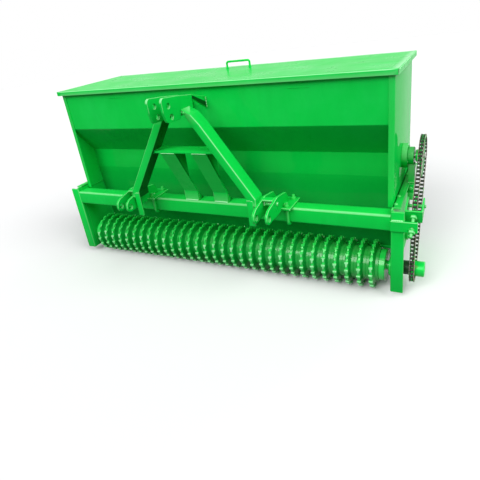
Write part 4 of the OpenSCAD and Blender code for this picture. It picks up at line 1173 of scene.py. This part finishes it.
def addTensioner(f, d, m):
    x, end, (y, z) = d["x"], m["end"], d["bar"]
    over, low, high, thick = f["barPlate"]
    plan = rounded(oblong(end, x + over, z + low, z + high), (1, 3, 3, 1), 4)
    parts = [cutPlate([plan, hole((x, z), f["hole"], 24)], thick, inXZ, (0, y, 0), 1.6),
             weldX(end + 4, end + 55, y + 3, z + 31, 4.0, 8.0),
             weldX(end + 2, end + 50, y + 5, z - 18.5, 2.5)]
    makePiece("tensionerBarPlate", parts, "tensioner_bar", gleam=m["gleam"]["bar"])
    reach, size = d["reach"], f["nuts"]
    plateY = reach - wheelRadius(d["idlerTeeth"]) - d["plateHigh"] / 2 - f["plateBehind"]
    screw = [threaded(f["screwFrom"], plateY + 3, f["screwR"], f["threadPitch"])]
    for a in (f["nutFrom"], plateY - 1.0):
        nut = [(a - 12.5, 0.9 * size), (a - 11.5, size), (a - 1.2, size), (a, 0.9 * size)]
        screw += [turned(nut, axis="y", sides=6), turned([(a, 17.0), (a + 2.4, 17.0)], axis="y", count=24)]
    # the screw leans more than the fork does, so that it meets the fork's plate above its middle
    parts = [moved(p, tiltedX(d["lean"])) for p in screw]
    wide, low, high, thick = f["plate"]
    plate = rounded(oblong(-wide, wide, low, high), 2.0, 3)
    parts.append(cutPlate([plate], thick, inXZ, (0, plateY + thick / 2, 0), 1.2))
    foot, head, past = f["arm"]
    corner = (1, f["armRound"], f["armRound"], 1)
    arm = rounded(oblong(plateY + 1, reach + past, foot, head), corner, 6)
    for s in (-1, 1):
        parts.append(cutPlate([arm], f["armThick"], inYZ, (s * f["armX"], 0, 0), 1.0))
        parts += bolt((s * (f["armX"] + 4.2), reach, 0), "x", s, 8.0, washer=False)
        parts.append(weldBead((s * 30, plateY + 9, -18), (s * 30, plateY + 9, 40), 2.5))
    half, r = f["axle"]
    parts.append(turned([(-half, r), (half, r)], (0, reach, 0), "x", 20))
    parts = [moved(p, tiltedX(d["tilt"]), (x, y, z)) for p in parts]
    makePiece("tensionerFork", parts, "tensioner_yoke", gleam=m["gleam"]["yoke"])


def addBearings(m):
    x, t, r = m["end"], frameWork["plate"], m["shaftR"]
    inside, out, left = x - m["bearingIn"], x + t + m["bearingOut"], -x - m["shaftEnd"]
    for which in ("front", "rear"):
        at = (0, rings[which]["y"], rings[which]["z"])
        parts = [flange(*ends, m["bearingR"], r + 0.3, at, 4.0) for ends in ((x, inside), (x + t, out))]
        for face, way in ((out + 0.2, 1), (inside - 0.2, -1)):
            parts += fourBolts(face, at, 38.0, 6.5, way, 45.0)
        parts += [moved(p, mirrorX) for p in parts]
        makePiece("bearingFlanges" + which.title(), parts, "bearings_" + which, look="iron", slot="dark_iron")
    ends = (("front", m["longEnd"], m["collarR"]), ("rear", x + m["shaftEnd"], m["rearCollarR"]))
    for which, right, wide in ends:
        at = (0, rings[which]["y"], rings[which]["z"])
        stack = rings[which]["count"] * rings["pitch"] / 2
        parts = [pin(left, right, r, at, 40, 2)]
        for s in (-1, 1):
            start, end = s * (stack + 0.2), s * (stack + m["collarLong"])
            parts.append(flange(start, end, wide, r - 1, at, 2.5, 64))
        makePiece(which + "_shaftTurned", parts, which + "_shaft", which + "_roller", "collar", "dark_iron")


def addSmallParts(m):
    makePiece("scraperStrip", [block(*m["scraper"], 1.6)], "scraper_bar")
    leaves = []
    y, z, wall, h = lid["hingeY"], lid["hingeZ"], hopper["y0"], lid["leaf"] / 2
    for x in lid["hinges"]:
        leaves += [pin(x - h, x + h, lid["knuckle"], (0, y, z), 16),
                   block((x - h, y + 2, z - 3.6), (x + h, wall, z + 3.6), 0.8),
                   weldX(x - h + 1, x + h - 1, wall - 1, z - 4, 1.6)]
    makePiece("lidHingeLeaves", leaves, "lid_hinge_leaves")
    start, end, radius = m["rod"]
    makePiece("meteringShaftTurned", [pin(start, end, radius, (0, m["meterY"], m["meterZ"]), 32, 1.5)],
              "metering_shaft", "metering", "steel", "bare_steel")


addHubs(machine)
addTensioner(fork, drive, machine)
addBearings(machine)
addSmallParts(machine)
print("hubs, tensioner, bearings and shafts made")

# floor, world and lamps: a dim even sky and four soft suns, one from the right, two from the front
# and one from behind
light = {
    "sky": 0.24, "skyColour": (0.95, 0.97, 1.0), "floorSeen": 0.80, "floorLit": 0.10, "floorHalf": 14.0,
    "right": {"energy": 2.35, "size": 50.0, "way": (-0.72, 0.14, -0.68)},
    "front": {"energy": 0.95, "size": 60.0, "way": (0.10, 0.68, -0.73)},
    "glint": {"energy": 1.5, "size": 30.0, "way": (0.15, 0.74, -0.66)},
    "back": {"energy": 1.1, "size": 20.0, "way": (-0.40, -0.90, -0.12)},
}


def seenDirectly(tree):
    # 1 for a ray from the camera, a mirror or a glass, 0 for the rays that light the drill
    path = newNode(tree, "LightPath", {}).outputs
    some = maths(tree, "MAXIMUM", path["Is Camera Ray"], path["Is Glossy Ray"])
    return maths(tree, "MAXIMUM", some, path["Is Transmission Ray"])


def addFloor(c):
    mesh = bpy.data.meshes.new("floor")
    s = c["floorHalf"]
    mesh.from_pydata([(x, y, 0) for x, y in oblong(-s, s, -s, s)], [], [(0, 1, 2, 3)])
    mat, tree, shader = newMaterial("floorPale", {"Roughness": 0.9, "Specular IOR Level": 0.1})
    # what lights the drill sees a darker floor than the camera does
    tone = ramp(tree, seenDirectly(tree), [(0.0, c["floorLit"]), (1.0, c["floorSeen"])])
    feed(tree, shader, {"Base Color": tone})
    mesh.materials.append(mat)
    newObject("floor", mesh)


def addWorld(c):
    world = bpy.data.worlds.new("studio")
    world.use_nodes = True
    tree = world.node_tree
    sky = feed(tree, tree.nodes["Background"], {"Color": solid(c["skyColour"]), "Strength": c["sky"]})
    white = newNode(tree, "Background", {"Color": solid(1.0)})
    mix = newNode(tree, "MixShader", {"Fac": seenDirectly(tree), 1: sky.outputs[0], 2: white.outputs[0]})
    feed(tree, tree.nodes["World Output"], {"Surface": mix.outputs[0]})
    bpy.context.scene.world = world


def addSun(name, c):
    lamp = bpy.data.lights.new(name, "SUN")
    lamp.energy = c["energy"]
    lamp.angle = math.radians(c["size"])
    obj = newObject(name, lamp)
    obj.rotation_mode = "QUATERNION"
    obj.rotation_quaternion = Vector(c["way"]).normalized().to_track_quat("-Z", "Y")


addFloor(light)
addWorld(light)
for name in ("right", "front", "glint", "back"):
    addSun(name, light[name])
bpy.context.scene.view_settings.view_transform = "Standard"
print("floor and light placed")
